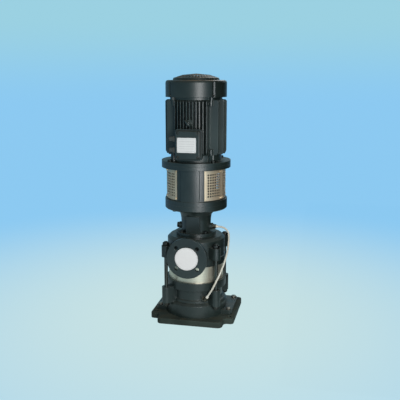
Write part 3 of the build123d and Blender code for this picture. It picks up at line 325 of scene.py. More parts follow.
@dataclass(frozen=True)
class CastPaint(Finish):
    """Satin paint over a cast or pressed surface, with worn edges and dust on what faces up; where asked, a tan
    patch round the machine's axis is partly dust and partly a painted highlight.

    Its grain is in bumps to the metre and their depth in metres; edge is how wide the rubbed edges seem.
    """

    grain: float = 320.0
    depth: float = 0.35 * MM
    edge: float = 2.5 * MM
    dust: Rgb = linear(108, 104, 90)
    dusting: float = 0.35
    worn: Rgb = linear(96, 106, 102)
    wear: float = 0.55
    shine: float = 0.5
    coat: float = 0.12
    coat_roughness: float = 0.28
    # radius and strength of the tan patch round the axis: partly dust, partly a painted highlight
    crown_sheen_radius: float = 0.0
    crown_dust_and_sheen: float = 0.55

    def material(self) -> bpy.types.Material:
        """Paint whose shade drifts, whose grain is the casting's, and whose edges are rubbed lighter.

        Where a radius for it is given, a tan patch is also painted on the up-facing faces round the machine's
        axis, out to about that radius: partly dust, and partly a painted highlight.
        """
        bench = Bench(self.name)
        drift = bench.noise(7.0)
        fine = bench.noise(self.grain, detail=2.0)
        shade = bench.blend(drift.ramp(0.3, 0.72), self.shaded(0.72), self.shaded(1.35))
        upward = bench.part(bench.facing())[2]
        # dust on up-facing faces; the tan patch added below puts a painted highlight into the same mask
        dust_and_sheen = upward.ramp(0.55, 1.0) * bench.noise(28.0).ramp(0.3, 0.75) * self.dusting
        # painted highlight, partly dust: tan on up-facing faces near the machine's axis
        if self.crown_sheen_radius:
            near = 1.0 - bench.from_axis().ramp(0.5 * self.crown_sheen_radius, 1.2 * self.crown_sheen_radius)
            dust_and_sheen = dust_and_sheen + near * upward.ramp(0.6, 1.0) * self.crown_dust_and_sheen
        dust_and_sheen_colour = bench.blend(dust_and_sheen, shade, self.dust)
        rubbed = bench.edges(self.edge) * bench.noise(55.0).ramp(0.36, 0.66) * self.wear
        colour = bench.blend(rubbed, dust_and_sheen_colour, self.worn)
        gloss = self.roughness + 0.16 * (drift - 0.5) + 0.25 * dust_and_sheen - 0.06 * rubbed
        normal = bench.bumped(fine + 0.6 * bench.noise(60.0), self.depth, self.edge)
        return bench.finish(
            Base_Color=colour,
            Roughness=gloss,
            Normal=normal,
            Specular_IOR_Level=self.shine,
            Coat_Weight=self.coat,
            Coat_Roughness=self.coat_roughness,
        )


class Lay(Enum):
    """Which way a metal's brush or tool marks run, as marks to the metre along each axis."""

    ROUND = (6.0, 6.0, 900.0)
    UPRIGHT = (700.0, 700.0, 8.0)
    EVEN = (180.0, 180.0, 180.0)


@dataclass(frozen=True)
class Metal(Finish):
    """Bare metal with tool marks, a drift of tarnish and brighter edges."""

    lay: Lay = Lay.EVEN
    marks: float = 0.04 * MM
    tarnish: Rgb = linear(92, 84, 70)
    tarnishing: float = 0.3
    metallic: float = 1.0
    # radius inside which faces are painted dark as painted shade, and that dark colour
    shade_inside_radius: float = 0.0
    inside_shade: Rgb = linear(34, 32, 29)

    def material(self) -> bpy.types.Material:
        """Metal whose streaks change both its colour and its gloss.

        Where a radius for it is given, what lies nearer the machine's axis, the sheet's back, is painted dark
        and made duller: painted shade on the inner side.
        """
        bench = Bench(self.name)
        streak = bench.noise(1.0, self.lay.value, 2.0)
        drift = bench.noise(16.0).ramp(0.35, 0.8)
        shade = bench.blend(streak, self.shaded(0.86), self.shaded(1.12))
        colour = bench.blend(drift * self.tarnishing, shade, self.tarnish)
        gloss = self.roughness + 0.14 * (streak - 0.5) + 0.15 * drift
        # painted shade: faces nearer the axis than the given radius, the sheet's inner side, turn dark and
        # duller
        if self.shade_inside_radius:
            back = bench.from_axis().below(self.shade_inside_radius)
            colour = bench.blend(back, colour, self.inside_shade)
            gloss = gloss + 0.3 * back
        normal = bench.bumped(streak, self.marks, 0.8 * MM)
        return bench.finish(Base_Color=colour, Metallic=self.metallic, Roughness=gloss, Normal=normal)


@dataclass(frozen=True)
class Moulding(Finish):
    """Moulded plastic, rubber or carbon with a faint texture."""

    grain: float = 900.0
    depth: float = 0.06 * MM

    def material(self) -> bpy.types.Material:
        """Plastic with a fine even grain and a slight drift of shade."""
        bench = Bench(self.name)
        drift = bench.noise(30.0)
        colour = bench.blend(drift, self.shaded(0.88), self.shaded(1.1))
        gloss = self.roughness + 0.08 * (drift - 0.5)
        normal = bench.bumped(bench.noise(self.grain), self.depth, 0.6 * MM)
        return bench.finish(Base_Color=colour, Roughness=gloss, Normal=normal)


@dataclass(frozen=True)
class BareFilm(Finish):
    """A bare white disc of film with a thin plain line just inside its edge."""

    middle: Point = (0.0, -0.2, 0.314)
    ring: float = 45.5 * MM
    stroke: float = 0.5 * MM
    ink: Rgb = linear(150, 158, 160)

    def material(self) -> bpy.types.Material:
        """White film; the line is where the distance from the disc's middle is the ring's radius."""
        bench = Bench(self.name)
        across, _, up = bench.part(bench.place())
        from_middle = ((across - self.middle[0]) ** 2.0 + (up - self.middle[2]) ** 2.0) ** 0.5
        line = (from_middle - self.ring).size().below(self.stroke) * 0.6
        mottle = bench.blend(bench.noise(35.0) * 0.5, self.colour, self.shaded(0.93))
        colour = bench.blend(line, mottle, self.ink)
        normal = bench.bumped(bench.noise(25.0), 0.4 * MM, 0.6 * MM)
        return bench.finish(Base_Color=colour, Roughness=self.roughness, Normal=normal)


@dataclass(frozen=True)
class RuledPlate(Finish):
    """A plain plate with a few generic ruled lines and nothing written on them."""

    foot: float = 0.0
    left: float = 0.0
    width: float = 79.0 * MM
    height: float = 61.0 * MM
    rows: int = 5
    stroke: float = 0.09
    margin: float = 0.1
    reach: float = 0.41
    ink: Rgb = linear(120, 130, 132)

    def material(self) -> bpy.types.Material:
        """White enamel; a line is where the share of its row is under the stroke, within the ruled field."""
        bench = Bench(self.name)
        across, _, up = bench.part(bench.place())
        start = self.foot + self.margin * self.height
        pitch = (1.0 - 2.0 * self.margin) * self.height / self.rows
        row = ((up - start) * (1.0 / pitch)).fraction().below(self.stroke)
        inside = (across - (self.left + self.width / 2)).size().below(self.reach * self.width)
        within = (up - (self.foot + self.height / 2)).size().below(self.reach * self.height)
        mottle = bench.blend(bench.noise(40.0), self.colour, self.shaded(0.92))
        colour = bench.blend(row * inside * within * 0.55, mottle, self.ink)
        normal = bench.bumped(bench.noise(120.0), 0.05 * MM, 0.5 * MM)
        return bench.finish(Base_Color=colour, Roughness=self.roughness, Normal=normal)


@dataclass(frozen=True)
class TubeSkin(Finish):
    """Glossy ivory tube that has yellowed in places."""

    aged: Rgb = linear(222, 217, 198)
    coat: float = 0.3
    coat_roughness: float = 0.15

    def material(self) -> bpy.types.Material:
        """Smooth plastic with a slight drift of warmth."""
        bench = Bench(self.name)
        warm = bench.noise(24.0).ramp(0.3, 0.8)
        return bench.finish(
            Base_Color=bench.blend(warm, self.colour, self.aged),
            Roughness=self.roughness + 0.08 * warm,
            Coat_Weight=self.coat,
            Coat_Roughness=self.coat_roughness,
        )


@dataclass(frozen=True)
class Laminations(Finish):
    """Stacked sheet steel: fine level lines all the way up."""

    sheets: float = 2000.0

    def material(self) -> bpy.types.Material:
        """Each sheet is a line where the height times the sheets to the metre starts a new whole number."""
        bench = Bench(self.name)
        up = bench.part(bench.place())[2]
        gap = (up * self.sheets).fraction().ramp(0.0, 0.4)
        colour = bench.blend(gap, self.shaded(0.6), self.colour)
        normal = bench.bumped(gap, 0.1 * MM)
        return bench.finish(Base_Color=colour, Metallic=0.8, Roughness=self.roughness, Normal=normal)


@dataclass(frozen=True)
class Winding(Finish):
    """Varnished copper wire laid round the machine's axis."""

    turns: float = 500.0

    def material(self) -> bpy.types.Material:
        """Each wire is a ridge in the height times the turns to the metre, with a little noise; the colour
        darkens towards each ridge's flanks as painted shade.
        """
        bench = Bench(self.name)
        up = bench.part(bench.place())[2]
        strand = ((up * self.turns) + bench.noise(20.0) * 2.0).fraction()
        ridge = 1.0 - (strand - 0.5).size() * 2.0
        # painted shade: each turn of wire darker towards its flanks
        colour = bench.blend(ridge, self.shaded(0.45), self.colour)
        normal = bench.bumped(ridge, 0.6 * MM)
        return bench.finish(Base_Color=colour, Metallic=0.6, Roughness=self.roughness, Normal=normal)


@dataclass
class PaintShop:
    """Every finish of the pump, built once, and which piece wears which."""

    casting: Finish = CastPaint("casting_paint", linear(35, 46, 44), 0.35, shine=0.7)
    motor: Finish = CastPaint(
        "motor_paint", linear(36, 48, 46), 0.36, shine=0.6, grain=420.0, depth=0.2 * MM
    )
    # The cowl's tan tint is dust on its tops, and round the dome's middle it is also a painted highlight.
    cowl: Finish = CastPaint(
        "cowl_paint", linear(35, 45, 43), 0.36, grain=500.0, depth=0.1 * MM, edge=4.0 * MM,
        dusting=0.55, dust=linear(150, 122, 88), crown_sheen_radius=48.0 * MM,
    )
    base: Finish = CastPaint(
        "base_paint", linear(60, 70, 65), 0.6, dusting=0.4, dust=linear(88, 80, 62),
        worn=linear(104, 98, 82), shine=0.1, coat=0.0,
    )
    # the guard's inner face, inside its outer radius, is painted dark: painted shade
    guard: Finish = Metal(
        "guard_steel", linear(232, 214, 184), 0.38, Lay.UPRIGHT,
        tarnish=linear(158, 138, 108), metallic=0.6, shade_inside_radius=128.2 * MM,
    )
    sleeve: Finish = Metal(
        "sleeve_steel", linear(250, 240, 218), 0.34, Lay.ROUND, tarnish=linear(164, 148, 120), metallic=0.8
    )
    rod: Finish = Metal(
        "rod_steel", linear(92, 96, 92), 0.36, Lay.ROUND, tarnish=linear(60, 56, 48), tarnishing=0.5
    )
    black_bolt: Finish = Metal(
        "black_bolt", linear(74, 78, 76), 0.42, tarnish=linear(70, 62, 50), tarnishing=0.45
    )
    zinc: Finish = Metal(
        "zinc_steel", linear(150, 148, 140), 0.38, tarnish=linear(120, 104, 80), tarnishing=0.5
    )
    shaft: Finish = Metal("shaft_steel", linear(190, 188, 182), 0.28, Lay.ROUND, tarnishing=0.15)
    stainless: Finish = Metal("stainless", linear(196, 194, 188), 0.36, Lay.ROUND, tarnishing=0.15)
    ball_steel: Finish = Metal("ball_steel", linear(214, 214, 216), 0.12, marks=0.01 * MM, tarnishing=0.05)
    coupling: Finish = Metal("coupling_iron", linear(120, 118, 112), 0.45, Lay.ROUND, tarnishing=0.5)
    bronze: Finish = Metal("bronze", linear(176, 134, 76), 0.35, Lay.ROUND)
    fitting: Finish = Metal(
        "plated_brass", linear(112, 108, 96), 0.45, tarnish=linear(72, 66, 56), tarnishing=0.5
    )
    film: Finish = BareFilm("white_film", linear(249, 250, 249), 0.42)
    tube: Finish = TubeSkin("ivory_tube", linear(238, 237, 226), 0.30)
    rubber: Finish = Moulding("black_rubber", linear(34, 34, 34), 0.7)
    fan: Finish = Moulding("fan_plastic", linear(40, 40, 42), 0.5)
    block: Finish = Moulding("block_plastic", linear(110, 62, 44), 0.45)
    plug: Finish = Moulding("plug_plastic", linear(66, 72, 72), 0.38)
    carbon: Finish = Moulding("seal_carbon", linear(46, 46, 48), 0.3)
    ceramic: Finish = Moulding("seal_ceramic", linear(226, 222, 208), 0.2)
    core: Finish = Laminations("core_steel", linear(120, 120, 122), 0.45)
    copper: Finish = Winding("copper_winding", linear(166, 92, 52), 0.4)
    built: dict[str, bpy.types.Material] = field(default_factory=dict)

    def get(self, finish: Finish) -> bpy.types.Material:
        """Builds a finish the first time it is asked for, and gives the same material after that."""
        if finish.name not in self.built:
            self.built[finish.name] = finish.material()
        return self.built[finish.name]

    def dress(self, piece: bpy.types.Object, finish: Finish) -> None:
        """Puts one finish on a whole piece.

        Args:
            piece: The piece.
            finish: What it wears.
        """
        material = self.get(finish)
        if not piece.material_slots:
            piece.data.materials.append(material)
        for place in piece.material_slots:
            place.material = material

    def dress_frame(self, nodes: dict[str, bpy.types.Object], plate: Finish) -> None:
        """Gives every carried-over piece its finish.

        Args:
            nodes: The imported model's pieces by name.
            plate: The finish of the rating plate, which needs the plate's own place.
        """
        worn: dict[Finish, Iterable[str]] = {
            self.casting: ("suction_casing", "discharge_casing", "neck", "motor_stool"),
            self.motor: (
                "drive_endshield", "motor_frame", "fan_endshield", "terminal_box", "terminal_lid",
                "lifting_eye",
            ),
            self.cowl: ("fan_cowl",),
            self.base: ("base_plate",),
            self.guard: ("coupling_guard_left", "coupling_guard_right", "guard_screws"),
            self.sleeve: ("pump_sleeve",),
            self.rod: ("tie_rods",),
            self.black_bolt: (
                "tie_rod_nuts", "neck_bolts", "stool_bolts", "motor_bolts", "coupling_bolts", "cowl_screws",
                "lid_screws", "pipe_plugs",
            ),
            self.zinc: ("foot_bolts",),
            self.shaft: ("motor_shaft", "pump_shaft", "coupling_key"),
            self.stainless: (
                "inlet_plate", "stage_bowl_1", "stage_bowl_2", "stage_bowl_3", "impeller_1", "impeller_2",
                "impeller_3", "impeller_spacers", "impeller_nut", "seal_cover",
            ),
            self.ball_steel: ("bearing_balls", "bearing_inner_rings", "bearing_outer_rings"),
            self.coupling: ("coupling_front_half", "coupling_back_half"),
            self.bronze: ("bottom_bush",),
            self.fitting: ("upper_tube_fitting", "lower_tube_fitting"),
            self.film: ("port_cover",),
            self.tube: ("balance_tube",),
            self.rubber: ("sleeve_gaskets", "seal_bellows"),
            self.fan: ("cooling_fan",),
            self.block: ("terminal_block",),
            self.plug: ("cable_plugs",),
            self.carbon: ("seal_face",),
            self.ceramic: ("seal_seat",),
            self.core: ("rotor_core", "stator_core"),
            self.copper: ("stator_windings",),
            plate: ("rating_plate",),
        }
        for finish, names in worn.items():
            for name in names:
                self.dress(nodes[name], finish)
        bare = sorted(set(nodes) - {name for names in worn.values() for name in names})
        LOG.info("frame dressed, %d pieces, without a finish: %s", len(nodes), bare)


# ------------------------------------------------------------------------------------------ surfaces
@dataclass(frozen=True)
class Seat:
    """A place to stand a turned piece on: its foot's centre and the way it points."""

    centre: Point
    axis: Point = (0.0, 0.0, 1.0)

    def frame(self) -> tuple[np.ndarray, np.ndarray, np.ndarray, np.ndarray]:
        """The centre, two directions across and the direction up, as arrays."""
        up = np.array(self.axis, float)
        up /= np.linalg.norm(up)
        guide = np.array((0.0, 0.0, 1.0)) if abs(up[2]) < 0.9 else np.array((1.0, 0.0, 0.0))
        across = np.cross(guide, up)
        across /= np.linalg.norm(across)
        return np.array(self.centre, float), across, np.cross(up, across), up


@dataclass
class Shell:
    """Grids of points gathered into one closed mesh."""

    points: list[np.ndarray] = field(default_factory=list)
    faces: list[tuple[int, ...]] = field(default_factory=list)

    def add_grid(self, grid: np.ndarray, lids: bool = False, joined: bool = False) -> None:
        """Adds a grid that closes on itself round its first parameter.

        Args:
            grid: Points by place round the piece, place along it, and coordinate.
            lids: Whether its two ends are closed with a flat face each.
            joined: Whether its last row runs into its first.
        """
        around, along = grid.shape[:2]
        base = sum(len(p) for p in self.points)
        self.points.append(grid.reshape(-1, 3))
        u = np.arange(around)
        v = np.arange(along if joined else along - 1)
        u0, v0 = (a.ravel() for a in np.meshgrid(u, v, indexing="ij"))
        u1, v1 = (u0 + 1) % around, (v0 + 1) % along
        quads = np.stack([u0 * along + v0, u1 * along + v0, u1 * along + v1, u0 * along + v1], 1) + base
        self.faces += [tuple(q) for q in quads.tolist()]
        if lids:
            ring = np.arange(around) * along + base
            self.faces.append(tuple(ring[::-1].tolist()))
            self.faces.append(tuple((ring + along - 1).tolist()))

    def turn(self, seat: Seat, profile: Profile, steps: int = 48, flats: float = 0.0) -> None:
        """Adds a turned shape: each profile point runs round the seat's axis at its radius and height.

        Where flats is given, the radius at an angle is the smaller of the profile's and that of a hexagon of
        that width, which is half the width over the cosine of the angle from the nearest flat's middle. A
        hexagon cut by a turned cone is a nut with its corners chamfered.

        Args:
            seat: Where it stands.
            profile: Points of (radius, height) from the foot up the outside to the top.
            steps: How many places there are round it.
            flats: The hexagon's width across its flats, or nought for a round shape.
        """
        centre, across, over, up = seat.frame()
        angle = np.linspace(0.0, 2.0 * math.pi, steps, endpoint=False)
        radius = np.array([p[0] for p in profile])[None, :].repeat(steps, 0)
        if flats:
            lean = (angle + math.pi / 6) % (math.pi / 3) - math.pi / 6
            radius = np.minimum(radius, (flats / 2 / np.cos(lean))[:, None])
        height = np.array([p[1] for p in profile])
        ways = np.cos(angle)[:, None] * across + np.sin(angle)[:, None] * over
        grid = centre + radius[:, :, None] * ways[:, None, :] + height[None, :, None] * up
        self.add_grid(grid, lids=True)

    def nut(self, seat: Seat, flats: float, height: float, chamfer: float = 0.12) -> None:
        """Adds a hexagon with both ends' corners turned off.

        Args:
            seat: Where it stands.
            flats: Width across the flats.
            height: Its height.
            chamfer: How much of the height the turned cone takes at each end, as a share of the flats.
        """
        corner = flats / math.sqrt(3.0)
        inner = 0.93 * flats / 2
        drop = chamfer * flats
        steep = np.linspace(0.0, 1.0, 4)
        low = [(inner + (corner - inner) * s, drop * s * s) for s in steep]
        high = [(corner - (corner - inner) * s, height - drop * (1 - s) ** 2) for s in steep]
        self.turn(seat, low + high, 72, flats)

    def washer(self, seat: Seat, radius: float, thickness: float) -> None:
        """Adds a washer with softly turned edges.

        Args:
            seat: Where it lies.
            radius: Its outer radius.
            thickness: Its thickness.
        """
        soft = 0.25 * thickness
        edge = [(radius, soft), (radius, thickness - soft)]
        self.turn(seat, [(radius - soft, 0.0), *edge, (radius - soft, thickness)], 36)

    def thread(self, seat: Seat, radius: float, pitch: float, length: float) -> None:
        """Adds a threaded end: the radius swings by a cosine of the height over the pitch less the angle.

        Args:
            seat: Where it starts.
            radius: Its middle radius.
            pitch: The thread's pitch.
            length: Its length.
        """
        centre, across, over, up = seat.frame()
        angle = np.linspace(0.0, 2.0 * math.pi, 24, endpoint=False)
        height = np.linspace(0.0, length, max(4, int(length / pitch * 8)))
        swing = 0.28 * pitch * np.cos(2 * math.pi * height[None, :] / pitch - angle[:, None])
        close = np.minimum(1.0, np.minimum(height, length - height) / (0.6 * pitch))[None, :]
        reach = radius + swing * close - 0.3 * pitch * (1 - close)
        ways = np.cos(angle)[:, None] * across + np.sin(angle)[:, None] * over
        self.add_grid(centre + reach[:, :, None] * ways[:, None, :] + height[None, :, None] * up, lids=True)

    def frame_ring(
        self, middle: Point, size: tuple[float, float], bar: tuple[float, float], corner: float
    ) -> None:
        """Adds a rounded rectangular ring that stands upright and faces the front.

        Its middle line is a rounded rectangle: a straight run and a quarter turn at each corner. Its section
        is an ellipse of the bar's width and depth.

        Args:
            middle: The ring's middle.
            size: Width and height of the middle line.
            bar: Width and depth of the section.
            corner: Radius of the corners.
        """
        turn = np.linspace(0.0, math.pi / 2, 7)
        half_w, half_h = size[0] / 2 - corner, size[1] / 2 - corner
        centres = np.array([(half_w, half_h), (-half_w, half_h), (-half_w, -half_h), (half_w, -half_h)])
        angles = turn[None, :] + (np.arange(4) * math.pi / 2)[:, None]
        outward = np.stack([np.cos(angles), np.sin(angles)], -1).reshape(-1, 2)
        line = (centres[:, None, :] + corner * outward.reshape(4, 7, 2)).reshape(-1, 2)
        around = np.linspace(0.0, 2 * math.pi, 10, endpoint=False)
        side = 0.5 * bar[0] * np.cos(around)
        deep = 0.5 * bar[1] * np.sin(around)
        x = middle[0] + line[None, :, 0] + side[:, None] * outward[None, :, 0]
        z = middle[2] + line[None, :, 1] + side[:, None] * outward[None, :, 1]
        y = middle[1] + deep[:, None] + 0.0 * x
        self.add_grid(np.stack([x, y, z], -1), joined=True)

    def piece(self, name: str, smooth_under: float = 35.0) -> bpy.types.Object:
        """Makes the gathered grids one mesh with its faces pointing outwards.

        Args:
            name: The piece's name.
            smooth_under: Edges that turn by fewer degrees are shaded smooth.

        Returns:
            The new piece, linked to the scene.
        """
        mesh = bpy.data.meshes.new(name)
        mesh.from_pydata(np.concatenate(self.points).tolist(), [], self.faces)
        mesh.validate()
        made = bpy.data.objects.new(name, mesh)
        bpy.context.scene.collection.objects.link(made)
        outwards(made)
        mesh.shade_smooth()
        mesh.set_sharp_from_angle(angle=math.radians(smooth_under))
        return made


def outwards(piece: bpy.types.Object) -> None:
    """Turns every face of a piece outwards.

    Args:
        piece: The piece, whose shells are closed.
    """
    work = bmesh.new()
    work.from_mesh(piece.data)
    bmesh.ops.recalc_face_normals(work, faces=work.faces)
    work.to_mesh(piece.data)
    work.free()


def diagonals(radius: float, height: float) -> list[Point]:
    """Four places on the diagonals.

    Args:
        radius: How far from the axis they are.
        height: Their height.

    Returns:
        The four points.
    """
    reach = radius * math.sqrt(0.5)
    return [(x * reach, y * reach, height) for x in (-1, 1) for y in (-1, 1)]


def settle(piece: bpy.types.Object, slot: str, *stands_for: str) -> None:
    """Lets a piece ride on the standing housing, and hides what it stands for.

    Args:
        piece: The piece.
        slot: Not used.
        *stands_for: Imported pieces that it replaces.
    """
    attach(piece, HOUSING)
    if stands_for:
        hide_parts(*stands_for)
    LOG.info("%s: %d faces", piece.name, len(piece.data.polygons) if piece.type == "MESH" else 0)


# ------------------------------------------------------------------------------------------ sub-assemblies
@dataclass
class BalanceTube:
    """The ivory tube down the right-hand side, with the ferrule at each of its ends."""

    diameter: float = 8.0 * MM
    length: float = 380.0 * MM
    ferrule: float = 6.6 * MM
    upper_fitting: Point = (88.5 * MM, 0.0, 411.0 * MM)
    elbow_reach: float = 148.0 * MM
    elbow_turn: float = -63.0
    elbow_height: float = 113.0 * MM
    lead: float = 16.0 * MM
    tuck: float = 1.5 * MM
    route: tuple[Point, ...] = (
        (0.090, 0.0, 0.411),
        (0.118, 0.0, 0.411),
        (0.140, -0.007, 0.400),
        (0.153, -0.020, 0.381),
        (0.153, -0.057, 0.322),
        (0.144, -0.086, 0.276),
        (0.131, -0.111, 0.236),
        (0.114, -0.131, 0.197),
        (0.097, -0.140, 0.161),
    )

    def end(self) -> tuple[Vector, Vector]:
        """Where the tube enters the lower fitting, and the way it comes from."""
        turn = math.radians(self.elbow_turn)
        reach = self.elbow_reach
        elbow = Vector((reach * math.cos(turn), reach * math.sin(turn), self.elbow_height))
        way = (Vector(self.route[-1]) - elbow).normalized()
        return elbow + way * self.lead, way

    def build_tube(self) -> bpy.types.Object:
        """Makes the tube as one smooth spline through the air beside the casings."""
        curve = bpy.data.curves.new("white_tube", "CURVE")
        curve.dimensions = "3D"
        spline = curve.splines.new("NURBS")
        spots = [Vector(p) for p in self.route] + [self.end()[0]]
        spline.points.add(len(spots) - 1)
        flat = np.array([[p.x, p.y, p.z, 1.0] for p in spots], dtype=np.float32)
        spline.points.foreach_set("co", flat.ravel())
        spline.order_u = 3
        spline.use_endpoint_u = True
        spline.resolution_u = 24
        curve.bevel_depth = self.diameter / 2
        curve.bevel_resolution = 6
        curve.use_fill_caps = True
        made = bpy.data.objects.new("white_tube", curve)
        bpy.context.scene.collection.objects.link(made)
        return made

    def build_ferrules(self) -> bpy.types.Object:
        """Makes the two tapered ferrules that hold the tube's ends."""
        shell = Shell()
        wide = self.ferrule / MM
        taper = [(5.0, 0.0), (wide, 0.4), (wide, 5.0), (5.6, 8.5), (4.9, 10.5), (4.3, 11.0)]
        profile = [(r * MM, h * MM) for r, h in taper]
        shell.turn(Seat(self.upper_fitting, (1.0, 0.0, 0.0)), profile, 32)
        foot, way = self.end()
        shell.turn(Seat(tuple(foot - way * self.tuck), tuple(way)), profile, 32)
        return shell.piece("tube_ferrules")

    def build(self, shop: PaintShop) -> None:
        """Builds and dresses the tube and its ferrules."""
        tube = self.build_tube()
        shop.dress(tube, shop.tube)
        settle(tube, "white_tube", "balance_tube")
        ferrules = self.build_ferrules()
        shop.dress(ferrules, shop.tube)
        settle(ferrules, "white_tube")


@dataclass(frozen=True)
class Bolt:
    """A hexagon bolt: its flats, how far its shank goes, its head with the washer, and its shank's radius."""

    flats: float
    reach: float
    head: float = 8.0 * MM
    shank: float = 6.0 * MM
    washer: float = 1.6 * MM

    def add(self, shell: Shell, seat: Seat) -> None:
        """Adds a washer, a head and a shank.

        Args:
            shell: Where they are gathered.
            seat: The face that the washer lies on, with its way out.
        """
        centre, _, _, up = seat.frame()
        shell.washer(seat, 0.64 * self.flats, self.washer)
        under_head = Seat(tuple(centre + up * 0.98 * self.washer), seat.axis)
        shell.nut(under_head, self.flats, self.head - self.washer)
        profile = [(self.shank, 0.0), (self.shank, self.reach + 0.2 * MM)]
        shell.turn(Seat(tuple(centre - up * self.reach), seat.axis), profile, 20)


@dataclass(frozen=True)
class RodNut:
    """A tie rod's nut with its washer and, where the rod comes through, the end of its thread."""

    flats: float = 26.0 * MM
    height: float = 12.05 * MM
    washer_radius: float = 16.5 * MM
    washer: float = 2.0 * MM
    thread: float = 8.1 * MM
    pitch: float = 2.0 * MM
    thread_foot: float = 13.5 * MM
    thread_length: float = 4.4 * MM

    def add(self, shell: Shell, seat: Seat, threaded: bool) -> None:
        """Adds one nut.

        Args:
            shell: Where it is gathered.
            seat: The lug's face, with its way out.
            threaded: Whether the rod's end stands out of it.
        """
        centre, _, _, up = seat.frame()
        shell.washer(seat, self.washer_radius, self.washer)
        shell.nut(Seat(tuple(centre + up * 0.975 * self.washer), seat.axis), self.flats, self.height)
        if threaded:
            end = Seat(tuple(centre + up * self.thread_foot), seat.axis)
            shell.thread(end, self.thread, self.pitch, self.thread_length)


@dataclass
class BoltWork:
    """Bolts, nuts and washers with turned corners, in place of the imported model's plain ones."""

    lug_circle: float = 157.0 * MM
    lug_foot: float = 83.0 * MM
    lug_top: float = 343.0 * MM
    head_circle: float = 110.0 * MM
    neck_head_foot: float = 497.0 * MM
    neck_circle: float = 75.0 * MM
    neck_seat: float = 391.0 * MM
    motor_circle: float = 132.5 * MM
    motor_seat: float = 708.0 * MM
    foot_seat: float = 45.0 * MM
    foot_aside: float = 156.0 * MM
    foot_rows: tuple[float, float] = (-42.0 * MM, 112.0 * MM)
    rod_nut: RodNut = RodNut()
    stool_bolt: Bolt = Bolt(19.0 * MM, 39.0 * MM)
    motor_bolt: Bolt = Bolt(19.0 * MM, 29.0 * MM)
    neck_bolt: Bolt = Bolt(18.0 * MM, 34.0 * MM)
    foot_bolt: Bolt = Bolt(19.0 * MM, 36.0 * MM)

    def build_nuts(self) -> bpy.types.Object:
        """Makes the tie rods' nuts, over the upper lugs and under the lower ones."""
        shell = Shell()
        for spot in diagonals(self.lug_circle, self.lug_top):
            self.rod_nut.add(shell, Seat(spot), True)
        for spot in diagonals(self.lug_circle, self.lug_foot):
            self.rod_nut.add(shell, Seat(spot, DOWN), False)
        return shell.piece("rod_nuts_turned")

    def build_group(self, node: str, bolt: Bolt, seats: Iterable[Seat]) -> bpy.types.Object:
        """Makes one group of equal bolts.

        Args:
            node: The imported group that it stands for.
            bolt: The bolt.
            seats: Where each one is.

        Returns:
            The group as one piece.
        """
        shell = Shell()
        for seat in seats:
            bolt.add(shell, seat)
        return shell.piece(f"{node}_turned")

    def build(self, shop: PaintShop) -> None:
        """Builds and dresses each group of fasteners."""
        nuts = self.build_nuts()
        shop.dress(nuts, shop.black_bolt)
        settle(nuts, "dark_steel", "tie_rod_nuts")
        feet = [(x, y, self.foot_seat) for x in (-self.foot_aside, self.foot_aside) for y in self.foot_rows]
        dark, zinc = (shop.black_bolt, "dark_steel"), (shop.zinc, "zinc_steel")
        under_head = [Seat(p, DOWN) for p in diagonals(self.head_circle, self.neck_head_foot)]
        on_flange = [Seat(p) for p in diagonals(self.motor_circle, self.motor_seat)]
        on_casing = [Seat(p) for p in diagonals(self.neck_circle, self.neck_seat)]
        on_foot = [Seat(p) for p in feet]
        for node, bolt, seats, (finish, slot) in (
            ("stool_bolts", self.stool_bolt, under_head, dark),
            ("motor_bolts", self.motor_bolt, on_flange, dark),
            ("neck_bolts", self.neck_bolt, on_casing, dark),
            ("foot_bolts", self.foot_bolt, on_foot, zinc),
        ):
            made = self.build_group(node, bolt, seats)
            shop.dress(made, finish)
            settle(made, slot, node)


@dataclass
class TerminalTrim:
    """The terminal box's gasket and the rating plate's rivets."""

    gasket_grow: float = 1.0 * MM
    gasket_bar: tuple[float, float] = (2.4 * MM, 1.4 * MM)
    gasket_corner: float = 9.0 * MM
    rivet: float = 2.0 * MM
    rivet_rise: float = 0.9 * MM
    rivet_inset: float = 3.4 * MM

    def build(self, shop: PaintShop) -> None:
        """Builds the gasket round the lid's foot and four rivets in the plate's corners."""
        low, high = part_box("terminal_lid")
        middle = ((low.x + high.x) / 2, high.y, (low.z + high.z) / 2)
        size = (high.x - low.x + self.gasket_grow, high.z - low.z + self.gasket_grow)
        gasket = Shell()
        gasket.frame_ring(middle, size, self.gasket_bar, self.gasket_corner)
        made = gasket.piece("lid_gasket", 60.0)
        shop.dress(made, shop.rubber)
        settle(made, "black_rubber")

        low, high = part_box("rating_plate")
        rivets = Shell()
        lean = np.linspace(0.0, 1.35, 6)
        dome = [(self.rivet * math.cos(a), self.rivet_rise * math.sin(a)) for a in lean]
        for x in (low.x + self.rivet_inset, high.x - self.rivet_inset):
            for z in (low.z + self.rivet_inset, high.z - self.rivet_inset):
                rivets.turn(Seat((x, low.y, z), (0.0, -1.0, 0.0)), dome, 20)
        made = rivets.piece("plate_rivets", 60.0)
        shop.dress(made, shop.stainless)
        settle(made, "stainless")

    def plate_finish(self) -> Finish:
        """The rating plate's finish, ruled to the plate's own size."""
        low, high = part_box("rating_plate")
        size = high - low
        return RuledPlate(
            "rating_plate", linear(236, 240, 240), 0.4, foot=low.z, left=low.x, width=size.x, height=size.z
        )


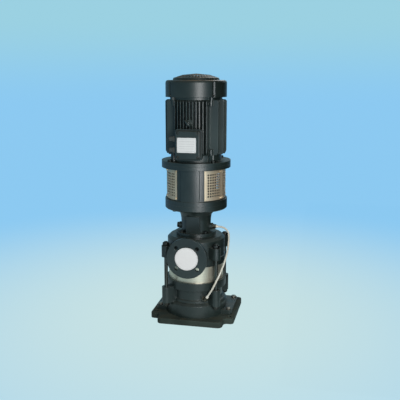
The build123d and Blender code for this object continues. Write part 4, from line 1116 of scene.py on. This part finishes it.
@dataclass
class Studio:
    """The pale sweep, the soft lamps and the camera. Angles are in degrees."""

    distance: float = 2.6
    height: float = 1.06
    turn: float = 12.0
    tilt: float = 11.6
    lens: float = 54.0
    aside: float = 0.0095
    middle: float = 0.55
    glow: float = 0.88
    mirrored: float = 0.4
    floor: float = 5.2
    bend: float = 2.0
    wall: float = 6.0
    around: int = 96
    near: Rgb = linear(208, 236, 238)
    far: Rgb = linear(147, 212, 254)
    high: Rgb = linear(163, 220, 238)
    lit: Rgb = linear(150, 160, 164)
    surround: Rgb = linear(236, 238, 232)
    surround_strength: float = 0.3

    def camera(self) -> None:
        """Stands the camera in front and a little to the right, looking slightly down."""
        data = bpy.data.cameras.new("camera")
        data.lens = self.lens
        data.sensor_width = 36.0
        data.shift_x = self.aside
        data.clip_end = 50.0
        made = bpy.data.objects.new("camera", data)
        bpy.context.scene.collection.objects.link(made)
        a, e = math.radians(self.turn), math.radians(self.tilt)
        back = Vector((math.sin(a) * math.cos(e), -math.cos(a) * math.cos(e), math.sin(e)))
        right = Vector((math.cos(a), math.sin(a), 0.0))
        place = Vector((self.distance * math.sin(a), -self.distance * math.cos(a), self.height))
        turned = Matrix((right, back.cross(right), back)).transposed().to_4x4()
        made.matrix_world = Matrix.Translation(place) @ turned
        bpy.context.scene.camera = made

    def lamp(self, name: str, place: Point, size: tuple[float, float], power: float) -> None:
        """Adds a soft white lamp that looks at the pump's middle.

        Args:
            name: Its name.
            place: Where it stands.
            size: Width and height.
            power: Its power.
        """
        data = bpy.data.lights.new(name, "AREA")
        data.shape = "RECTANGLE"
        data.size, data.size_y = size
        data.energy = power
        made = bpy.data.objects.new(name, data)
        made.visible_camera = False
        way = Vector((0.0, 0.0, self.middle)) - Vector(place)
        made.matrix_world = Matrix.Translation(place) @ way.to_track_quat("-Z", "Y").to_matrix().to_4x4()
        bpy.context.scene.collection.objects.link(made)

    def sweep(self) -> bpy.types.Object:
        """Makes the round floor and wall: a flat run, a quarter circle and a rise, turned about the pump."""
        turn = np.linspace(0.0, math.pi / 2, 16)[1:]
        run = [0.02, 0.5, 1.5, 3.0, self.floor]
        outer = self.floor + self.bend
        reach = np.concatenate([run, self.floor + self.bend * np.sin(turn), [outer]])[None, :]
        rise = np.concatenate([[0.0] * len(run), self.bend * (1.0 - np.cos(turn)), [self.wall]])[None, :]
        angle = np.linspace(0.0, 2.0 * math.pi, self.around, endpoint=False)[:, None]
        grid = np.stack([reach * np.cos(angle), reach * np.sin(angle), rise + 0.0 * angle], -1)
        count = reach.shape[1]
        u, v = np.meshgrid(np.arange(self.around), np.arange(count - 1), indexing="ij")
        first = (u * count + v).ravel()
        after = (((u + 1) % self.around) * count + v).ravel()
        quads = np.stack([first, first + 1, after + 1, after], 1).tolist()
        middle = (np.arange(self.around) * count).tolist()
        mesh = bpy.data.meshes.new("sweep")
        mesh.from_pydata(grid.reshape(-1, 3).tolist(), [], quads + [middle])
        mesh.shade_smooth()
        made = bpy.data.objects.new("sweep", mesh)
        bpy.context.scene.collection.objects.link(made)
        return made

    def sweep_material(self) -> bpy.types.Material:
        """A plain pale blue: palest round the pump, fullest further out, and softer again up the wall.

        The camera sees most of it as a glow, and so, at less strength, do mirrors and clear pieces.
        """
        bench = Bench("sweep")
        up = bench.part(bench.place())[2]
        floor = bench.blend(bench.from_axis().ramp(0.2, 2.4), self.near, self.far)
        colour = bench.blend(up.ramp(0.6, 2.0), floor, self.high)
        soft = bench.wire("ShaderNodeBsdfDiffuse", {}, {"Color": self.lit})
        glow = bench.wire("ShaderNodeEmission", {}, {"Color": colour, "Strength": 1.0})
        rays = bench.node("ShaderNodeLightPath")
        seen = Wire(bench, rays.outputs["Is Camera Ray"]) * self.glow
        for kind in ("Glossy", "Transmission"):
            seen = seen + Wire(bench, rays.outputs[f"Is {kind} Ray"]) * self.mirrored
        shader = bench.wire("ShaderNodeMixShader", {}, {0: seen, 1: soft, 2: glow})
        bench.node("ShaderNodeOutputMaterial", {}, {"Surface": shader})
        return bench.material

    def world(self) -> None:
        """An even pale surround."""
        world = bpy.data.worlds.new("surround")
        world.use_nodes = True
        ground = world.node_tree.nodes["Background"]
        ground.inputs["Color"].default_value = (*self.surround, 1.0)
        ground.inputs["Strength"].default_value = self.surround_strength
        bpy.context.scene.world = world

    def flag(self) -> None:
        """Stands a dark card to the right, which the camera doesn't see and bright steel mirrors.

        Across, it runs along the floor, turns up through a quarter circle and rises. Along, it is straight.
        """
        inner, outer, bend, clear, top = 0.42, 1.5, 0.4, 0.003, 2.2
        front, rear = -0.6, 2.6
        turn = np.linspace(0.0, math.pi / 2, 8)
        right = np.concatenate([[inner], outer - bend + bend * np.sin(turn), [outer]])[:, None]
        rise = np.concatenate([[clear], clear + bend - bend * np.cos(turn), [top]])[:, None]
        depth = np.array([[front, rear]])
        grid = np.stack([right + 0.0 * depth, depth + 0.0 * right, rise + 0.0 * depth], -1)
        first = np.arange(len(right) - 1) * 2
        quads = np.stack([first, first + 1, first + 3, first + 2], 1).tolist()
        mesh = bpy.data.meshes.new("flag")
        mesh.from_pydata(grid.reshape(-1, 3).tolist(), [], quads)
        made = bpy.data.objects.new("flag", mesh)
        made.visible_camera = False
        made.visible_shadow = False
        bpy.context.scene.collection.objects.link(made)
        bench = Bench("flag")
        soft = bench.wire("ShaderNodeBsdfDiffuse", {}, {"Color": linear(20, 21, 22)})
        bench.node("ShaderNodeOutputMaterial", {}, {"Surface": soft})
        mesh.materials.append(bench.material)

    def stand(self, turn: float, rise: float, distance: float) -> Point:
        """A place round the pump's middle.

        Args:
            turn: Degrees round from straight in front, towards the right.
            rise: Degrees above the level.
            distance: How far away it is.

        Returns:
            The place.
        """
        a, e = math.radians(turn), math.radians(rise)
        level = distance * math.cos(e)
        return (level * math.sin(a), -level * math.cos(a), self.middle + distance * math.sin(e))

    def build(self) -> None:
        """Sets the whole studio."""
        sweep = self.sweep()
        sweep.data.materials.append(self.sweep_material())
        self.world()
        self.lamp("key", self.stand(24.0, 11.0, 2.5), (0.95, 1.9), 46.0)
        self.lamp("back", self.stand(165.0, 38.0, 2.6), (1.4, 1.0), 8.0)
        self.flag()


def main() -> None:
    """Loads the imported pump, sets the studio, and builds each sub-assembly in order."""
    logging.basicConfig(level=logging.INFO, format="%(name)s: %(message)s")
    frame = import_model()
    bpy.context.scene.view_settings.view_transform = "Standard"
    studio = Studio()
    studio.camera()
    shop = PaintShop()
    BalanceTube().build(shop)
    studio.build()
    trim = TerminalTrim()
    shop.dress_frame(frame["nodes"], trim.plate_finish())
    trim.build(shop)
    BoltWork().build(shop)


if __name__ == "__main__":
    main()
